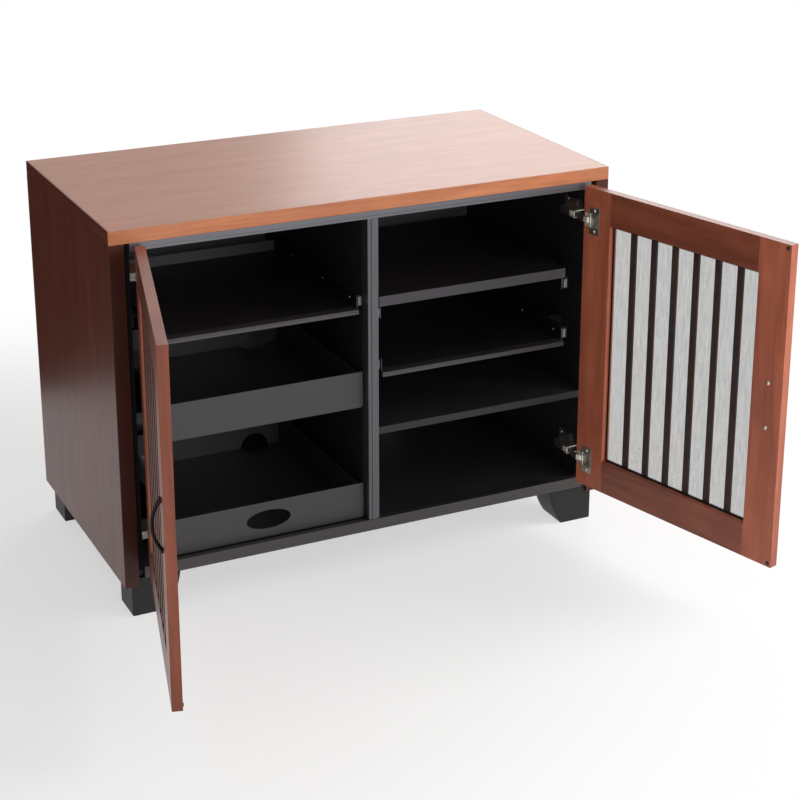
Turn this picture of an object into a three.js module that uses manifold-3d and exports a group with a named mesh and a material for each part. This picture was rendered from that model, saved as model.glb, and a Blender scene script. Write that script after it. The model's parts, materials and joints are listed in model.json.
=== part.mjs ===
// Audio equipment cabinet with two slatted cloth doors, pull-out trays, drawers and a pull-out shelf.
// Lengths are in millimetres. +X runs to the right of someone in front of it, +Y to its back, +Z up.
// While it is built, the origin is on the floor at the front left corner of the case. At the end the
// whole cabinet, with its doors open, is moved so that the origin is at its bottom centre.

import * as THREE from 'three';
import { mergeVertices } from 'three/addons/utils/BufferGeometryUtils.js';
import Module from 'manifold-3d';

const wasm = await Module();
wasm.setup();

// Case
const cabinetWidth = 1118;
const cabinetDepth = 590;
const cabinetHeight = 829;
const topThickness = 28;
const topShadowGroove = 1.5;
const sideThickness = 30;
const sideUnderside = 70;
const linerThickness = 12;
const linerSetback = 6;
const bottomUnderside = 85;
const bottomThickness = 18;
const backThickness = 6;
const backInset = 10;
const dividerThickness = 24;
const dividerPlaceShare = 0.5;
const fit = 0.25;
const overrun = 5;

// Cable notch at the foot of each back panel
const notchWidth = 140;
const notchHeight = 22;
const notchRadius = 14;

// Front rails and centre post
const railDepth = 14;
const topRailHeight = 16;
const bottomRailHeight = 25;
const railLip = 4.5;
const railGrooveDepth = 1.5;
const railGrooveHeight = 2;
const postDepth = 30;
const postRidgeWidth = 8;
const postRidgeHeight = 2;

// Legs
const legInset = 15;
const legSoleWidth = 75;
const legTopWidth = 106;
const legDepth = 80;
const legFrontInset = 6;
const legBackInset = 9;
const legCurveSteps = 10;
const legBulgeShares = [0.8, 0.42];

// Component shelf and its clips
const componentShelfUnderside = 300;
const componentShelfThickness = 16;
const componentShelfFront = 12;
const componentShelfRearGap = 42;
const componentShelfSlack = 1.5;
const clipLength = 12;
const clipWidth = 10;
const clipHeight = 8;
const clipFrontInset = 30;

// Pull-outs
const pulloutFront = 22;
const cableRoom = 97;
const hingeSideRoom = 50;
const dividerSideRoom = 15;
const sheetThickness = 2;
const slideHeight = 24;
const slideWidth = 12;
const slideWall = 1.5;
const slidePlay = 0.75;
const slideEndSetback = 5;
const spacerLength = 40;
const spacerFrontInset = 80;
const spacerBackInset = 60;

// Trays with an aluminium front trim
const upperTrayUnderside = 577;
const lowerTrayUnderside = 428;
const trayFloorThickness = 9;
const trayWallHeight = 41;
const trayWallRadius = 7;
const trayRearHeight = 33;
const traySlideRise = 25;
const trimDepth = 8;
const trimHeight = 10;
const trimRidge = 1.2;
const trimLip = 2.2;
const trimRecess = 0.8;

// Drawers
const middleDrawerUnderside = 365;
const bottomDrawerUnderside = 110;
const drawerHeight = 80;
const drawerHingeSideExtra = 24;
const drawerFrontOverlap = 11.5;
const drawerCornerRadius = 6;
const drawerSlideRise = 26;
const drawerFrontThickness = 3;
const fingerHoleWidth = 100;
const fingerHoleHeight = 42;
const rearHoleRadius = 34;
const rearHoleSpread = 145;
const holeSteps = 36;

// Pull-out shelf
const pulloutShelfUnderside = 583;
const pulloutShelfThickness = 22;
const pulloutShelfOverhang = 4;
const bracketHeight = 28;

// Doors, drawn closed: u runs from the hinge edge to the free edge
const doorEdgeInset = 1.5;
const doorMiddleGap = 3;
const doorFaceGap = 2.5;
const doorThickness = 20;
const doorTopGap = 3;
const doorBottomLift = 24;
const stileWidth = 78;
const doorRailWidth = 74;
const slatCount = 6;
const slatWidth = 16;
const slatThickness = 5.5;
const slatRecess = 1;
const slatEndGap = 47;
const slatGrooveDepth = 6;
const clothThickness = 2;
const turnedFit = 0.3;

// Handle on the outside of each door
const handleLength = 112;
const handleReach = 22;
const handleRadius = 3.8;
const handleFootRadius = 5.5;
const handleEdgeInset = 36;
const handleRise = 346;
const handleSteps = 20;
const handleSides = 10;

// Concealed hinges
const hingeEndInset = 63;
const hingeTopInset = 72;
const doorOpenAngle = THREE.MathUtils.degToRad(104.5);
const doorOpenInset = 68;
const doorOpenForward = 16;
const cupPivotInset = 17.5;
const cupPivotDepth = 2;
const hingeArmReach = 51;
const cupInset = 3;
const cupWidth = 42;
const cupDepth = 14;
const cupHeight = 34;
const cupWall = 1;
const cupFlangeHeight = 60;
const cupFlangeWidth = 28;
const cupFlangeInset = 18;
const cupFlangeThickness = 1.2;
const linkThickness = 4;
const linkHeight = 12;
const linkNeck = 8;
const linkShapeShares = [[0, 0], [0.09, 0.62], [0.22, 1], [0.5, 0.75], [0.95, 0], [1, 0]];
const cupBossRadius = 3.4;
const armBossRadius = 4;
const hingePinRadius = 1.5;
const hingePinPlay = 0.25;
const armWidth = 16.5;
const armEarThickness = 2;
const armLength = 56;
const armThroat = 7;
const armFootLength = 50;
const armFootHeight = 44;
const armFootThickness = 5;
const roundSteps = 20;

// Sizes worked out from the driving ones
const topUnderside = cabinetHeight - topThickness;
const bottomTop = bottomUnderside + bottomThickness;
const linerFace = sideThickness + linerThickness;
const backFront = cabinetDepth - backInset - backThickness;
const interiorTop = topUnderside - fit;
const interiorBase = bottomTop + fit;
const dividerPlace = dividerPlaceShare * cabinetWidth;
const dividerFace = dividerPlace - dividerThickness / 2;
const pulloutLeft = linerFace + hingeSideRoom;
const pulloutRight = dividerFace - dividerSideRoom;
const pulloutWidth = pulloutRight - pulloutLeft;
const drawerWidth = pulloutWidth - drawerHingeSideExtra;
const pulloutDepth = backFront - pulloutFront - cableRoom;
const slideLength = pulloutDepth - slideEndSetback;
const componentShelfDepth = backFront - componentShelfFront - componentShelfRearGap;
const doorWidth = (cabinetWidth - 2 * doorEdgeInset - doorMiddleGap) / 2;
const doorBottom = bottomUnderside + doorBottomLift;
const doorTop = topUnderside - doorTopGap;
const doorHeight = doorTop - doorBottom;
const hingeHeights = { lower: doorBottom + hingeEndInset, upper: doorTop - hingeTopInset };

// Finishes, one set of values for each kind of surface in the photograph
const finishes = {
  topVeneer: { color: '#a9745a', roughness: 0.35, metalness: 0 },
  sideVeneer: { color: '#5a3226', roughness: 0.35, metalness: 0 },
  doorWood: { color: '#8a4632', roughness: 0.4, metalness: 0 },
  blackPanel: { color: '#262528', roughness: 0.5, metalness: 0 },
  aluminium: { color: '#6b6b6d', roughness: 0.4, metalness: 0.8 },
  blackSteel: { color: '#2f2e31', roughness: 0.45, metalness: 0.4 },
  greySteel: { color: '#484749', roughness: 0.45, metalness: 0.4 },
  nickel: { color: '#b9b6ae', roughness: 0.3, metalness: 0.9 },
  cloth: { color: '#3a3936', roughness: 0.95, metalness: 0 },
  moulded: { color: '#3a3738', roughness: 0.6, metalness: 0 },
};

// Small geometry helpers

function plain(geometry) {
  const bare = geometry.clone();
  bare.deleteAttribute('normal');
  bare.deleteAttribute('uv');
  return mergeVertices(bare);
}

function toSolid(geometry) {
  const merged = plain(geometry);
  const vertProperties = Float32Array.from(merged.attributes.position.array);
  const triVerts = Uint32Array.from(merged.index.array);
  return new wasm.Manifold(new wasm.Mesh({ numProp: 3, vertProperties, triVerts }));
}

function fromSolid(solid) {
  const mesh = solid.getMesh();
  const geometry = new THREE.BufferGeometry();
  geometry.setAttribute('position', new THREE.BufferAttribute(mesh.vertProperties, 3));
  geometry.setIndex(new THREE.BufferAttribute(mesh.triVerts, 1));
  return geometry;
}

function joined(first, ...others) {
  return fromSolid(others.reduce((solid, other) => solid.add(toSolid(other)), toSolid(first)));
}

function cutBy(first, ...others) {
  return fromSolid(others.reduce((solid, other) => solid.subtract(toSolid(other)), toSolid(first)));
}

function block(low, high) {
  const size = high.map((value, axis) => value - low[axis]);
  const geometry = new THREE.BoxGeometry(...size);
  geometry.translate(...low.map((value, axis) => value + size[axis] / 2));
  return geometry;
}

function outline(points) {
  return new THREE.Shape(points.map(([across, up]) => new THREE.Vector2(across, up)));
}

// An outline in X and Y, drawn up along Z
function prismUp(shape, height) {
  return new THREE.ExtrudeGeometry(shape, { depth: height, bevelEnabled: false, curveSegments: roundSteps });
}

// An outline in Y and Z, drawn to the right along X
function prismRight(shape, length) {
  const turn = new THREE.Matrix4().makeBasis(
    new THREE.Vector3(0, 1, 0), new THREE.Vector3(0, 0, 1), new THREE.Vector3(1, 0, 0));
  return prismUp(shape, length).applyMatrix4(turn);
}

// An outline in X and Z, drawn to the back along Y
function prismBack(shape, length) {
  const turn = new THREE.Matrix4().makeBasis(
    new THREE.Vector3(1, 0, 0), new THREE.Vector3(0, 0, 1), new THREE.Vector3(0, -1, 0));
  return prismUp(shape, length).applyMatrix4(turn).translate(0, length, 0);
}

function cylinderUp(radius, height) {
  return new THREE.CylinderGeometry(radius, radius, height, roundSteps).rotateX(Math.PI / 2);
}

// A left-hand piece as it is, or its mirror image for the right-hand side
function handed(side, geometry) {
  const merged = plain(geometry);
  if (side === 'left') return merged;
  merged.scale(-1, 1, 1);
  const index = merged.index.array;
  for (let first = 0; first < index.length; first += 3) {
    [index[first], index[first + 1]] = [index[first + 1], index[first]];
  }
  return merged;
}

function piece(name, geometry, finish) {
  const shown = geometry.clone();
  shown.computeVertexNormals();
  const mesh = new THREE.Mesh(shown, new THREE.MeshStandardMaterial(finish));
  mesh.name = name;
  return mesh;
}

const cabinet = new THREE.Group();

function addAt(name, geometry, finish, x, y, z) {
  const mesh = piece(name, geometry, finish);
  mesh.position.set(x, y, z);
  cabinet.add(mesh);
  return mesh;
}

// A piece whose place is given for the left-hand side, put there or at the mirrored place
function addHanded(side, name, geometry, finish, x, y, z) {
  const place = side === 'left' ? x : cabinetWidth - x;
  return addAt(name, handed(side, geometry), finish, place, y, z);
}

const hands = ['left', 'right'];

// Top panel
function addTopPanel() {
  const panel = block([0, 0, 0], [cabinetWidth, cabinetDepth, topThickness]);
  addAt('top_panel', panel, finishes.topVeneer, 0, 0, topUnderside);
}

// Side panels, with the shadow groove under the top, and the black liners inside them
function addSides() {
  const height = topUnderside - fit - sideUnderside;
  const section = outline([
    [0, 0], [sideThickness, 0], [sideThickness, height],
    [topShadowGroove, height], [0, height - topShadowGroove],
  ]);
  const linerHeight = interiorTop - interiorBase;
  const linerDepth = backFront - fit - linerSetback;
  for (const side of hands) {
    addHanded(side, `${side}_side_panel`, prismBack(section, cabinetDepth), finishes.sideVeneer,
      0, 0, sideUnderside);
    const liner = block([0, 0, 0], [linerThickness - fit, linerDepth, linerHeight]);
    addHanded(side, `${side}_side_liner`, liner, finishes.blackPanel, sideThickness + fit, linerSetback,
      interiorBase);
  }
}

// Bottom panel, centre divider and back panels
function addInnerPanels() {
  const innerWidth = cabinetWidth - 2 * (sideThickness + fit);
  const bottom = block([0, 0, 0], [innerWidth, backFront - fit - railDepth - fit, bottomThickness]);
  addAt('bottom_panel', bottom, finishes.blackPanel, sideThickness + fit, railDepth + fit, bottomUnderside);

  const dividerFront = postDepth + fit;
  const dividerHeight = interiorTop - interiorBase;
  const divider = block([0, 0, 0], [dividerThickness, backFront - fit - dividerFront, dividerHeight]);
  addAt('centre_divider', divider, finishes.blackPanel, dividerFace, dividerFront, interiorBase);

  const width = dividerPlace - fit - sideThickness - fit;
  const height = interiorTop - bottomUnderside;
  const notchCentre = (linerFace + dividerFace) / 2 - sideThickness - fit;
  const panel = new THREE.Shape();
  const notchLeft = notchCentre - notchWidth / 2;
  const notchRight = notchCentre + notchWidth / 2;
  const notchFoot = bottomThickness;
  const notchTop = notchFoot + notchHeight;
  panel.moveTo(0, 0);
  panel.lineTo(width, 0);
  panel.lineTo(width, height);
  panel.lineTo(0, height);
  panel.closePath();
  const notch = new THREE.Path();
  notch.moveTo(notchLeft, notchFoot);
  notch.lineTo(notchRight, notchFoot);
  notch.lineTo(notchRight, notchTop - notchRadius);
  notch.absarc(notchRight - notchRadius, notchTop - notchRadius, notchRadius, 0, Math.PI / 2);
  notch.lineTo(notchLeft + notchRadius, notchTop);
  notch.absarc(notchLeft + notchRadius, notchTop - notchRadius, notchRadius, Math.PI / 2, Math.PI);
  notch.closePath();
  panel.holes.push(notch);
  for (const side of hands) {
    addHanded(side, `${side}_back_panel`, prismBack(panel, backThickness), finishes.blackPanel,
      sideThickness + fit, backFront, bottomUnderside);
  }
}

// Front rails between the liners, the top one grooved above its lip, and the centre post between
function addFrontFrame() {
  const railLength = cabinetWidth - 2 * (linerFace + fit);
  const grooveTop = railLip + railGrooveHeight;
  const grooved = outline([
    [0, 0], [railDepth, 0], [railDepth, topRailHeight], [0, topRailHeight],
    [0, grooveTop], [railGrooveDepth, grooveTop], [railGrooveDepth, railLip], [0, railLip],
  ]);
  const topRailUnderside = interiorTop - topRailHeight;
  addAt('top_front_rail', prismRight(grooved, railLength), finishes.aluminium,
    linerFace + fit, 0, topRailUnderside);
  const plainRail = block([0, 0, 0], [railLength, railDepth, bottomRailHeight]);
  addAt('bottom_front_rail', plainRail, finishes.aluminium, linerFace + fit, 0, bottomUnderside);

  const ridgeLeft = dividerThickness / 2 - postRidgeWidth / 2;
  const ridgeRight = dividerThickness / 2 + postRidgeWidth / 2;
  const footDepth = railDepth + fit;
  const section = outline([
    [0, postRidgeHeight], [ridgeLeft, postRidgeHeight], [ridgeLeft, 0], [ridgeRight, 0],
    [ridgeRight, postRidgeHeight], [dividerThickness, postRidgeHeight], [dividerThickness, postDepth],
    [0, postDepth],
  ]);
  const post = prismUp(section, topUnderside - bottomUnderside);
  const low = bottomUnderside + bottomRailHeight + fit;
  const lowBehind = interiorBase;
  const frontOff = block([-overrun, -overrun, -overrun],
    [dividerThickness + overrun, footDepth, low - bottomUnderside]);
  const backOff = block([-overrun, -overrun, -overrun],
    [dividerThickness + overrun, postDepth + overrun, lowBehind - bottomUnderside]);
  const topOff = block([-overrun, -overrun, topRailUnderside - fit - bottomUnderside],
    [dividerThickness + overrun, postDepth + overrun, topUnderside - bottomUnderside + overrun]);
  addAt('centre_post', cutBy(post, frontOff, backOff, topOff), finishes.aluminium, dividerFace, 0,
    bottomUnderside);
}

// Four moulded legs, stepped at the top to sit under the side panel and the bottom panel
function addLegs() {
  const high = bottomUnderside - fit;
  const low = sideUnderside - fit;
  const step = sideThickness - legInset + fit;
  const [bulgeAcross, bulgeUp] = legBulgeShares;
  const flare = legTopWidth - legSoleWidth;
  const section = new THREE.Shape();
  section.moveTo(0, 0);
  section.lineTo(legSoleWidth, 0);
  section.quadraticCurveTo(legSoleWidth + bulgeAcross * flare, bulgeUp * high, legTopWidth, high);
  section.lineTo(step, high);
  section.lineTo(step, low);
  section.lineTo(0, low);
  section.closePath();
  const points = section.getPoints(legCurveSteps).map((point) => [point.x, point.y]);
  const leg = prismBack(outline(points), legDepth);
  const places = { front: legFrontInset, back: cabinetDepth - legBackInset - legDepth };
  for (const side of hands) {
    for (const [end, place] of Object.entries(places)) {
      addHanded(side, `${end}_${side}_leg`, leg, finishes.moulded, legInset, place, 0);
    }
  }
}

// Component shelf in the right-hand bay, on four clips
function addComponentShelf() {
  const left = cabinetWidth - dividerFace;
  const right = cabinetWidth - linerFace;
  const shelf = block([0, 0, 0],
    [right - left - 2 * componentShelfSlack, componentShelfDepth, componentShelfThickness]);
  addAt('component_shelf', shelf, finishes.blackPanel, left + componentShelfSlack, componentShelfFront,
    componentShelfUnderside);
  const clip = block([0, 0, 0], [clipWidth, clipLength, clipHeight]);
  const frontPlace = componentShelfFront + clipFrontInset;
  const backPlace = componentShelfFront + componentShelfDepth - clipFrontInset - clipLength;
  const level = componentShelfUnderside - fit - clipHeight;
  for (const [end, place] of [['front', frontPlace], ['back', backPlace]]) {
    addAt(`${end}_shelf_clip_left`, clip, finishes.nickel, left + fit, place, level);
    addAt(`${end}_shelf_clip_right`, clip, finishes.nickel, right - fit - clipWidth, place, level);
  }
}

// The two fixed channels of a pull-out's slides: one on the divider, one on spacers from the liner
function slideChannel() {
  const inner = slideWidth - slideWall;
  const half = slideHeight / 2;
  return prismBack(outline([
    [0, -half], [slideWidth, -half], [slideWidth, half], [0, half],
    [0, half - slideWall], [inner, half - slideWall], [inner, slideWall - half], [0, slideWall - half],
  ]), slideLength);
}

function addChannels(side, label, centreHeight, hingeSideExtra = 0) {
  const dividerPlaceX = dividerFace - fit - slideWidth;
  addHanded(side, `${label}_divider_slide`, slideChannel(), finishes.blackSteel, dividerPlaceX,
    pulloutFront + slideEndSetback, centreHeight);

  const outer = handed('right', slideChannel());
  const spacerWidth = hingeSideRoom - dividerSideRoom + hingeSideExtra;
  const half = slideHeight / 2;
  const spacer = (start) => block([-slideWidth - spacerWidth, start, -half],
    [slideWall - slideWidth, start + spacerLength, half]);
  const both = joined(outer, spacer(spacerFrontInset),
    spacer(slideLength - spacerBackInset - spacerLength));
  const wallPlace = linerFace + fit + spacerWidth + slideWidth;
  addHanded(side, `${label}_liner_slide`, both, finishes.blackSteel, wallPlace,
    pulloutFront + slideEndSetback, centreHeight);
}

// The moving bars that run in the channels, drawn from the pull-out's own lower left front corner
function slideBars(rise, width = pulloutWidth) {
  const half = slideHeight / 2 - slideWall - slidePlay;
  const reach = dividerSideRoom - fit - slideWall - slidePlay;
  const low = rise - half;
  const high = rise + half;
  return [
    block([-reach, slideEndSetback, low], [sheetThickness / 2, slideEndSetback + slideLength, high]),
    block([width - sheetThickness / 2, slideEndSetback, low],
      [width + reach, slideEndSetback + slideLength, high]),
  ];
}

// Side wall of a tray, in Y and Z, with its top front corner rounded
function trayWall() {
  const wall = new THREE.Shape();
  wall.moveTo(0, 0);
  wall.lineTo(pulloutDepth, 0);
  wall.lineTo(pulloutDepth, trayWallHeight);
  wall.lineTo(trayWallRadius, trayWallHeight);
  wall.absarc(trayWallRadius, trayWallHeight - trayWallRadius, trayWallRadius, Math.PI / 2, Math.PI);
  wall.closePath();
  return prismRight(wall, sheetThickness);
}

function trayBody() {
  const floor = block([0, 0, 0], [pulloutWidth, pulloutDepth, trayFloorThickness]);
  const rear = block([0, pulloutDepth - sheetThickness, 0], [pulloutWidth, pulloutDepth, trayRearHeight]);
  const farWall = trayWall().translate(pulloutWidth - sheetThickness, 0, 0);
  return joined(floor, rear, trayWall(), farWall, ...slideBars(traySlideRise));
}

// Aluminium trim along a tray's front edge, with a shallow recess between its two lips
function trimSection() {
  return outline([
    [0, 0], [trimDepth - fit, 0], [trimDepth - fit, trimHeight], [trimRidge, trimHeight],
    [0, trimHeight - trimRidge], [0, trimHeight - trimLip], [trimRecess, trimHeight - trimLip - trimRecess],
    [trimRecess, trimLip + trimRecess], [0, trimLip],
  ]);
}

function addTray(side, label, underside) {
  const place = side === 'left' ? pulloutLeft : cabinetWidth - pulloutRight;
  addAt(label, trayBody(), finishes.blackSteel, place, pulloutFront, underside);
  const trim = prismRight(trimSection(), pulloutWidth);
  addAt(`${label}_trim`, trim, finishes.aluminium, place, pulloutFront - trimDepth, underside);
  addChannels(side, label, underside + traySlideRise);
}

// Front of a drawer in X and Z, wider than the box so that it covers the slides
function drawerFront() {
  const low = -drawerFrontOverlap;
  const high = drawerWidth + drawerFrontOverlap;
  const front = new THREE.Shape();
  front.moveTo(low, drawerHeight);
  front.lineTo(low, drawerCornerRadius);
  front.absarc(low + drawerCornerRadius, drawerCornerRadius, drawerCornerRadius, Math.PI, 1.5 * Math.PI);
  front.absarc(high - drawerCornerRadius, drawerCornerRadius, drawerCornerRadius, 1.5 * Math.PI, 2 * Math.PI);
  front.lineTo(high, drawerHeight);
  front.closePath();
  return prismBack(front, drawerFrontThickness);
}

// Sheet-steel drawer with two round holes at the foot of its rear wall; the bottom one also has an
// oval finger hole in its front
function drawerBody(hasFingerHole) {
  const inside = block([sheetThickness, drawerFrontThickness, sheetThickness],
    [drawerWidth - sheetThickness, pulloutDepth - sheetThickness, drawerHeight + overrun]);
  const box = cutBy(block([0, drawerFrontThickness / 2, 0], [drawerWidth, pulloutDepth, drawerHeight]), inside);
  const oval = new THREE.Shape();
  oval.absellipse(drawerWidth / 2, drawerHeight / 2, fingerHoleWidth / 2, fingerHoleHeight / 2, 0,
    2 * Math.PI);
  const ovalPoints = oval.getSpacedPoints(holeSteps).slice(0, holeSteps).map((point) => [point.x, point.y]);
  const fingerHole = prismBack(outline(ovalPoints), drawerFrontThickness + 2 * overrun)
    .translate(0, -overrun, 0);
  const rearHoles = [-rearHoleSpread, rearHoleSpread].flatMap((offset) => {
    const across = drawerWidth / 2 + offset;
    const wallHole = new THREE.CylinderGeometry(rearHoleRadius, rearHoleRadius, 2 * overrun, holeSteps);
    wallHole.translate(across, pulloutDepth, 0);
    const floorHole = new THREE.CylinderGeometry(rearHoleRadius, rearHoleRadius, 2 * overrun, holeSteps);
    floorHole.rotateX(Math.PI / 2).translate(across, pulloutDepth, 0);
    return [wallHole, floorHole];
  });
  const holes = hasFingerHole ? [fingerHole, ...rearHoles] : rearHoles;
  return joined(cutBy(joined(box, drawerFront()), ...holes), ...slideBars(drawerSlideRise, drawerWidth));
}

function addDrawer(label, underside, hasFingerHole) {
  addAt(label, drawerBody(hasFingerHole), finishes.greySteel, pulloutLeft + drawerHingeSideExtra, pulloutFront,
    underside);
  addChannels('left', label, underside + drawerSlideRise, drawerHingeSideExtra);
}

// Pull-out shelf: a board on two side brackets that carry its slide bars
function addPulloutShelf() {
  const label = 'pullout_shelf';
  const place = cabinetWidth - pulloutRight;
  const board = block([-pulloutShelfOverhang, 0, bracketHeight],
    [pulloutWidth + pulloutShelfOverhang, pulloutDepth, bracketHeight + pulloutShelfThickness]);
  const bracket = (start) => block([start, slideEndSetback, 0],
    [start + sheetThickness, pulloutDepth, bracketHeight + sheetThickness]);
  const rise = (bracketHeight - slidePlay) / 2;
  const shelf = joined(board, bracket(0), bracket(pulloutWidth - sheetThickness), ...slideBars(rise));
  const underside = pulloutShelfUnderside - bracketHeight;
  addAt(label, shelf, finishes.blackSteel, place, pulloutFront, underside);
  addChannels('right', label, underside + rise);
}

// Door frame: stiles and rails, a groove for the slats, and a pocket for each hinge cup
function doorFrame() {
  const frame = block([0, -doorThickness, 0], [doorWidth, 0, doorHeight]);
  const opening = block([stileWidth, -doorThickness - overrun, doorRailWidth],
    [doorWidth - stileWidth, overrun, doorHeight - doorRailWidth]);
  const grooveBack = slatRecess + slatThickness - doorThickness + turnedFit;
  const groove = block([stileWidth, slatRecess - doorThickness - turnedFit, doorRailWidth - slatGrooveDepth],
    [doorWidth - stileWidth, grooveBack, doorHeight - doorRailWidth + slatGrooveDepth]);
  const pockets = Object.values(hingeHeights).map((height) => block(
    [cupInset, -cupDepth, height - doorBottom - cupHeight / 2],
    [cupInset + cupWidth, overrun, height - doorBottom + cupHeight / 2]));
  return cutBy(frame, opening, groove, ...pockets);
}

// Six upright slats on hidden end battens that sit in the frame's grooves
function doorSlats() {
  const outer = slatRecess - doorThickness;
  const inner = outer + slatThickness;
  const low = doorRailWidth - slatGrooveDepth + turnedFit;
  const high = doorHeight - low;
  const across = [stileWidth + turnedFit, doorWidth - stileWidth - turnedFit];
  const battenHeight = slatGrooveDepth - 2 * turnedFit;
  const battens = [low, high - battenHeight].map((base) => block([across[0], outer, base],
    [across[1], inner, base + battenHeight]));
  const clearWidth = doorWidth - 2 * stileWidth;
  const pitch = (clearWidth - 2 * slatEndGap - slatWidth) / (slatCount - 1);
  const slats = [];
  for (let count = 0; count < slatCount; count += 1) {
    const start = stileWidth + slatEndGap + count * pitch;
    slats.push(block([start, outer, low], [start + slatWidth, inner, high]));
  }
  return joined(battens[0], ...slats, battens[1]);
}

function doorCloth() {
  const outer = slatRecess + slatThickness - doorThickness + turnedFit;
  return block([stileWidth + turnedFit, outer, doorRailWidth + turnedFit],
    [doorWidth - stileWidth - turnedFit, outer + clothThickness, doorHeight - doorRailWidth - turnedFit]);
}

// Bow handle: a round bar along an arc, with a foot at each end
function bowHandle() {
  const half = handleLength / 2 - handleFootRadius;
  const rise = handleReach - handleRadius;
  const arcRadius = (half * half + rise * rise) / (2 * rise);
  const halfAngle = Math.asin(half / arcRadius);
  const points = [];
  for (let step = 0; step <= handleSteps; step += 1) {
    const angle = -halfAngle + (2 * halfAngle * step) / handleSteps;
    points.push(new THREE.Vector3(0, arcRadius - rise - arcRadius * Math.cos(angle),
      arcRadius * Math.sin(angle)));
  }
  const section = [];
  for (let side = 0; side < handleSides; side += 1) {
    const angle = (2 * Math.PI * side) / handleSides;
    section.push([handleRadius * Math.cos(angle), handleRadius * Math.sin(angle)]);
  }
  const bar = new THREE.ExtrudeGeometry(outline(section), {
    steps: handleSteps, bevelEnabled: false, extrudePath: new THREE.CatmullRomCurve3(points),
  });
  const foot = (height) => new THREE.CylinderGeometry(handleFootRadius, handleFootRadius,
    2 * handleRadius, roundSteps).translate(0, -turnedFit, height);
  const whole = joined(bar, foot(-half), foot(half));
  const reach = handleReach + handleRadius;
  const behind = block([-handleLength, -turnedFit, -handleLength], [handleLength, reach, handleLength]);
  return cutBy(whole, behind);
}

// Hinge cup: a shell let into the door's pocket, with a tall flange on the door's inner face
function hingeCup() {
  const inner = { low: cupInset + turnedFit + cupWall, high: cupInset + cupWidth - turnedFit - cupWall };
  const halfOuter = cupHeight / 2 - turnedFit;
  const shell = block([cupInset + turnedFit, turnedFit - cupDepth, -halfOuter],
    [cupInset + cupWidth - turnedFit, turnedFit + cupFlangeThickness, halfOuter]);
  const flange = block([cupFlangeInset, turnedFit, -cupFlangeHeight / 2],
    [cupFlangeInset + cupFlangeWidth, turnedFit + cupFlangeThickness, cupFlangeHeight / 2]);
  const cavity = block([inner.low, turnedFit + cupWall - cupDepth, cupWall - halfOuter],
    [inner.high, overrun, halfOuter - cupWall]);
  const rimOff = block([cupInset, turnedFit, -halfOuter - overrun],
    [inner.low, overrun, halfOuter + overrun]);
  const pin = cylinderUp(hingePinRadius, 2 * halfOuter - cupWall).translate(cupPivotInset, -cupPivotDepth, 0);
  return joined(cutBy(joined(shell, flange), cavity, rimOff), pin);
}

// Where each hinge's two pivots lie, seen from above, for the left-hand side. The door turns on the
// cup pivot and the link turns on the arm pivot, so that the door clears the side panel as it opens.
function hingeGeometry() {
  const cupClosed = new THREE.Vector2(doorEdgeInset + cupPivotInset, -doorFaceGap - cupPivotDepth);
  const openCorner = new THREE.Vector2(doorOpenInset, -doorOpenForward);
  const inDoor = new THREE.Vector2(cupPivotInset, -cupPivotDepth);
  const cupOpen = inDoor.clone().rotateAround(new THREE.Vector2(), -doorOpenAngle).add(openCorner);
  const middle = cupClosed.clone().add(cupOpen).divideScalar(2);
  const moved = cupOpen.clone().sub(cupClosed).normalize();
  const towardsCase = new THREE.Vector2(-moved.y, moved.x);
  const armPivot = middle.clone().addScaledVector(towardsCase, hingeArmReach);
  const linkLength = armPivot.distanceTo(cupOpen);
  const openHeading = Math.atan2(armPivot.y - cupOpen.y, armPivot.x - cupOpen.x);
  return { openCorner, cupOpen, armPivot, linkLength, openHeading };
}

// Cranked link from the cup pivot, at its origin, to the arm pivot along +X; it bows to one side so
// that it passes round the edge of the open door
function hingeLink(length) {
  const points = linkShapeShares.map(([along, out]) => new THREE.Vector2(along * length, -out * linkNeck));
  const bars = [];
  for (let count = 0; count + 1 < points.length; count += 1) {
    const run = points[count + 1].clone().sub(points[count]);
    const bar = new THREE.BoxGeometry(run.length(), linkThickness, linkHeight);
    bar.rotateZ(Math.atan2(run.y, run.x));
    bar.translate((points[count].x + points[count + 1].x) / 2, (points[count].y + points[count + 1].y) / 2, 0);
    bars.push(bar);
    const knuckle = cylinderUp(linkThickness / 2, linkHeight);
    bars.push(knuckle.translate(points[count + 1].x, points[count + 1].y, 0));
  }
  const cupBoss = cylinderUp(cupBossRadius, linkHeight);
  const armBoss = cylinderUp(armBossRadius, linkHeight).translate(length, 0, 0);
  const bore = () => cylinderUp(hingePinRadius + hingePinPlay, linkHeight + 2 * overrun);
  return cutBy(joined(cupBoss, armBoss, ...bars), bore(), bore().translate(length, 0, 0));
}

// Hinge arm: a foot screwed to the liner and a forked arm whose ears hold the link's pivot
function hingeArm(armPivot) {
  const half = armWidth / 2;
  const front = armPivot.y - armBossRadius - armEarThickness;
  const inward = armPivot.x + armBossRadius + armEarThickness;
  const back = front + armLength;
  const arm = block([linerFace + fit, front, -half], [inward, back, half]);
  const throat = block([linerFace - overrun, front - overrun, -half + armEarThickness],
    [inward + overrun, armPivot.y + armBossRadius + armThroat, half - armEarThickness]);
  const foot = block([linerFace + fit, back - armFootLength / 2, -armFootHeight / 2],
    [linerFace + armFootThickness, back + armFootLength / 2, armFootHeight / 2]);
  const pin = cylinderUp(hingePinRadius, armWidth - armEarThickness).translate(armPivot.x, armPivot.y, 0);
  return joined(cutBy(arm, throat), foot, pin);
}

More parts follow.
